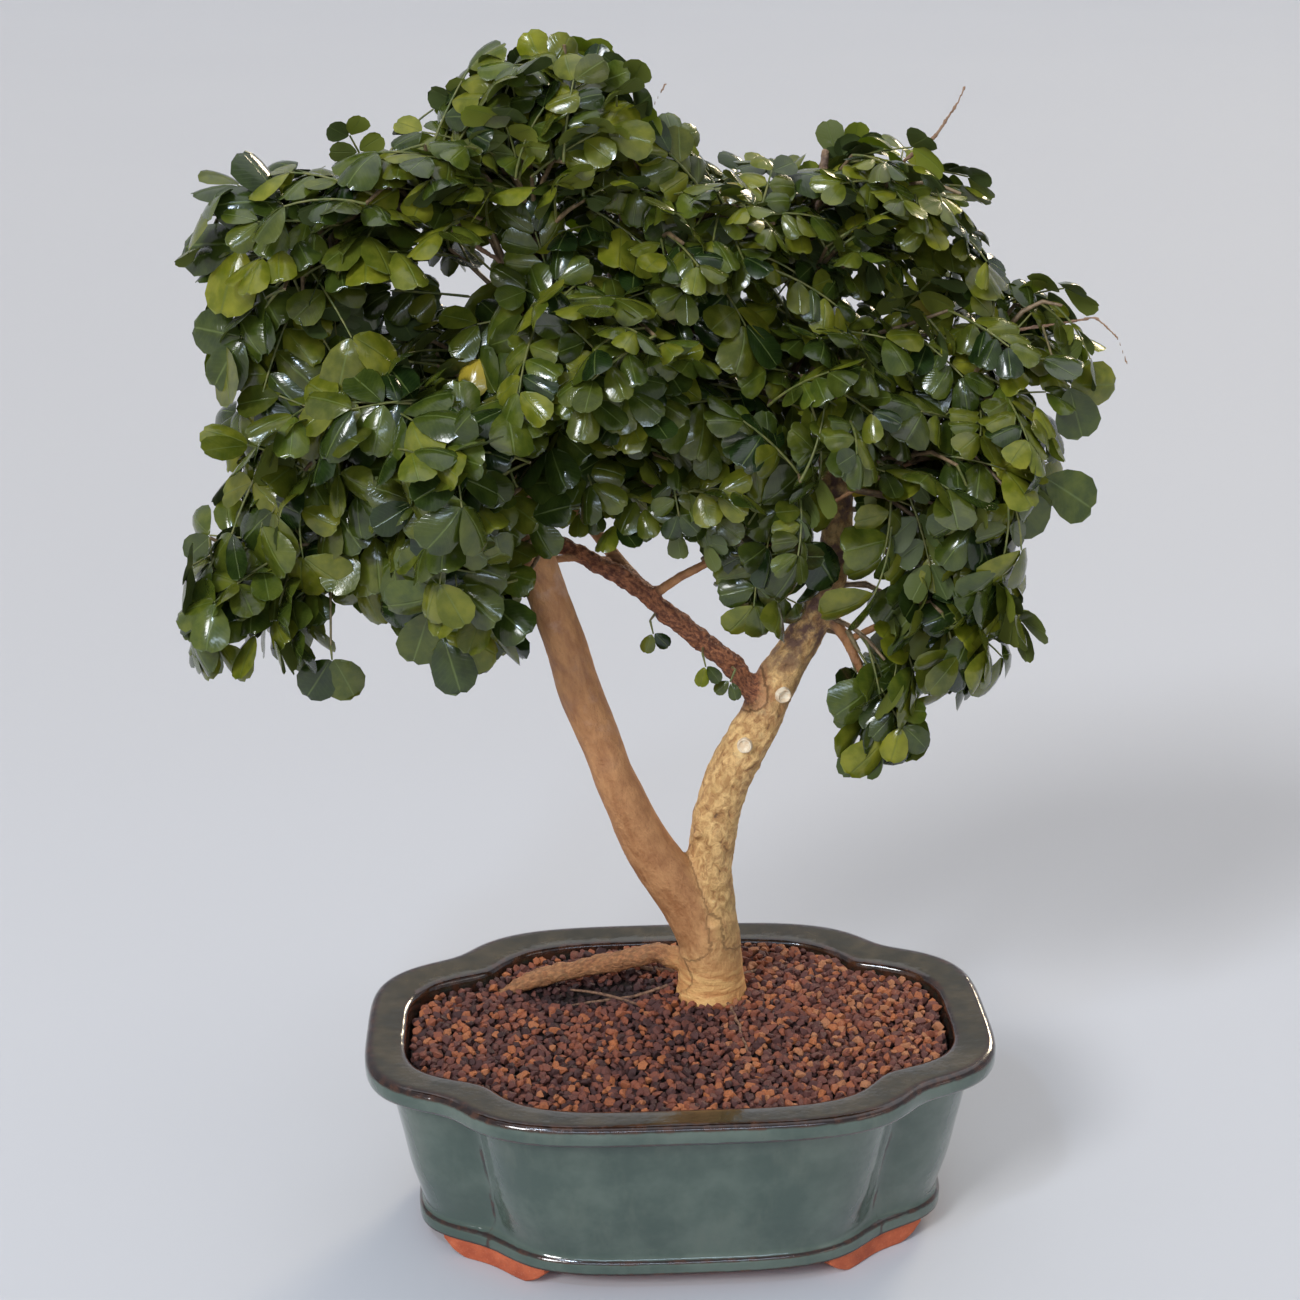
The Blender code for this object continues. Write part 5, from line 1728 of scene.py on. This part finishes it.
def extra_shoot(foliage, wood, name, draw):
    """One more shoot in a mass: its stem's path and its planned leaves, or nothing."""
    centre, radii, _, size, hang, _ = MASSES[name]
    way = stray_way(draw, GOAL_FRONT)
    depth = draw.uniform(*GOAL_SPREAD) ** GOAL_POWER - GOAL_LOSS
    goal = over_pot(*centre) + Vector([way[k] * radii[k] * MM * depth for k in range(3)])
    outward = outward_at(goal)
    root = wood.find_nearest(goal - outward * BRANCH_STEP)[0]
    if not SHOOT_REACH[0] < (goal - root).length < SHOOT_REACH[1] or mass_of(goal)[1] > 1:
        return None
    span = goal - root
    lift = UP * span.length * draw.uniform(*STEM_LIFT)
    path = [root - span.normalized() * STEM_SUNK]
    for t in STEM_PLACES:
        path.append(root + span * t + lift * (4 * t * (1 - t)))
    planned = []
    for share in LEAF_STARTS:
        best = None
        for _ in range(LEAF_TRIES):
            t = share * 3
            low = min(int(t), 2)
            start = path[low] + (path[low + 1] - path[low]) * (t - low)
            stray = stray_way(draw) * HEAD_STRAY
            heading = outward * HEAD_OUT + span.normalized() * HEAD_ALONG + stray - UP * hang
            face = leaf_face(outward, draw)
            face -= heading.normalized() * face.dot(heading.normalized())
            if face.length < FACE_LEAST:
                continue
            pairs = draw.choice(SMALL_PAIRS if size < SMALL_SIZE else LARGE_PAIRS)
            scale = size * draw.uniform(*SIZE_SPREAD)
            length = LEAF_LENGTH * scale * (RIB_SHARE + PAIR_SHARE * pairs)
            droop = draw.uniform(*DROOP_SPREAD) + max(hang, 0) * HANG_DROOP
            cup = draw.uniform(*CUP_SPREAD)
            leaf = foliage.plan(start, heading, face, length, pairs, droop, cup, scale)
            crowd = foliage.crowded(spots_of(leaf))
            if crowd < MOST_CROWD and fits(leaf) and free_of_wood(leaf, wood):
                if best is None or crowd < best[0]:
                    best = (crowd, leaf)
                    if crowd == 0:
                        break
        if best:
            planned.append(best[1])
    return (path, planned) if len(planned) > 1 else None


def make_foliage(growth, shapes, wood, blade, stalk):
    """All leafy shoots: those of the solid, and more that fill the crown."""
    draw = random.Random(SEED)
    foliage = Foliage(draw)
    shoots = solid_shoots(foliage, wood)
    wanted = [(i / facts[2], name) for name, facts in MASSES.items() for i in range(facts[2])]
    for _, name in sorted(wanted):
        for _ in range(SHOOT_TRIES):
            found = extra_shoot(foliage, wood, name, draw)
            if found:
                path, planned = found
                number = min(shoots, key=lambda n: (shoots[n][1] - path[-1]).length)
                base = shoots[number][0]
                base.stalk(path, MORE_STEM_RADII, 0.8)
                for leaf in planned:
                    foliage.hang(base, leaf, MASSES[name][5], draw.uniform(*TINT_RANGE))
                break
    for start, goal, pairs, size, fresh in LONE_LEAVES:
        root = over_pot(*start)
        way = over_pot(*goal) - root
        face = Vector((0, -1, 0.5)) + leaf_face(Vector(), draw) * 0.3
        length = LONE_PAIR_LENGTH if pairs == 1 else LEAF_LENGTH * size
        planned = foliage.plan(root, way, face, length, pairs, 0.2, 0.15, size)
        number = min(shoots, key=lambda n: (shoots[n][1] - root).length)
        base = shoots[number][0]
        stem = wood.find_nearest(root)[0]
        if (stem - root).length < LONE_REACH:
            base.stalk([stem, stem.lerp(root, 0.5), root], LONE_RADII, 0.5)
        foliage.hang(base, planned, fresh, 0.45)
    for number, (base, _) in shoots.items():
        piece = growth.grown(base, shapes, blade, stalk)
        finished(piece, "leaf", f"leafy_shoot_{number:02d}")


# Studio


def make_floor():
    """A plain pale floor that bends up far out on all sides."""
    bm = bmesh.new()
    profile = [(radius, 0.0) for radius in FLOOR_RINGS]
    flat = FLOOR_RINGS[-1]
    for i in range(1, BEND_STEPS + 1):
        turn = math.pi / 2 * i / BEND_STEPS
        profile.append((flat + FLOOR_BEND * math.sin(turn), FLOOR_BEND * (1 - math.cos(turn))))
    profile.append((flat + FLOOR_BEND, FLOOR_WALL))
    turns = [2 * math.pi * i / FLOOR_SIDES for i in range(FLOOR_SIDES)]
    rows = [[bm.verts.new((r * math.cos(t), r * math.sin(t), z)) for t in turns] for r, z in profile]
    for near, far in zip(rows, rows[1:]):
        for i in range(FLOOR_SIDES):
            j = (i + 1) % FLOOR_SIDES
            bm.faces.new((near[i], far[i], far[j], near[j]))
    bm.faces.new(rows[0])
    floor = mesh_piece("floor", bm)
    floor.data.materials.append(pale_floor())


def make_studio():
    """Pale floor, soft daylight from the left, warm light from behind, and the camera."""
    make_floor()
    middle = POT_MIDDLE + UP * LIT_HEIGHT
    for name, kind, place, size, power, colour in LIGHTS:
        light = bpy.data.lights.new(name, kind)
        if kind == "SUN":
            light.angle = size
        else:
            light.shape = "RECTANGLE"
            light.size = size
            light.size_y = STRIP_WIDTH
        light.energy = power
        light.color = colour
        lamp = bpy.data.objects.new(name, light)
        lamp.location = POT_MIDDLE + Vector(place)
        lamp.rotation_euler = (middle - lamp.location).to_track_quat("-Z", "Y").to_euler()
        bpy.context.scene.collection.objects.link(lamp)
    world = bpy.data.worlds.new("studio_air")
    bpy.context.scene.world = world
    world.use_nodes = True
    air = world.node_tree.nodes["Background"]
    air.inputs["Color"].default_value = AIR_COLOUR
    air.inputs["Strength"].default_value = AIR_STRENGTH
    camera = bpy.data.cameras.new("camera")
    camera.lens = CAMERA_LENS
    camera.sensor_width = CAMERA_SENSOR
    camera.clip_end = CAMERA_CLIP
    eye = bpy.data.objects.new("camera", camera)
    axes = (CAMERA_RIGHT, CAMERA_UP, -Vector(CAMERA_AHEAD))
    eye.matrix_world = Matrix(axes).transposed().to_4x4()
    eye.location = POT_MIDDLE + Vector(CAMERA_PLACE)
    bpy.context.scene.collection.objects.link(eye)
    bpy.context.scene.camera = eye
    bpy.context.scene.view_settings.view_transform = "Standard"


def drop_shapes(*collections):
    """Remove the shapes that the growth nodes picked from."""
    for group in collections:
        for shape in list(group.objects):
            bpy.data.objects.remove(shape)
        bpy.data.collections.remove(group)


growth = Growth()
stones = stone_shapes()
leaflets = leaflet_shapes()
trunk_surface = node_surface("trunk")
clay = bare_clay()
stone = gravel_stone()

make_pot(teal_glaze(), clay)
make_feet(clay)
for side in ("left", "right"):
    screen = frame["nodes"][f"drain_screen_{side}"]
    screen.data.materials.clear()
    screen.data.materials.append(drain_plastic())
make_soil_bed(wet_soil())
for turn, (name, lift) in enumerate(GRAIN_LAYERS):
    make_gravel(name, lift, trunk_surface, stones, growth, stone, SEED + turn)
make_wood(tree_bark())
make_scars(trunk_surface, cut_wood())
make_roots(growth, stones, root_skin())
make_foliage(growth, leaflets, trunk_surface, leaf_blade(), green_stalk())
drop_shapes(stones, leaflets)
make_studio()
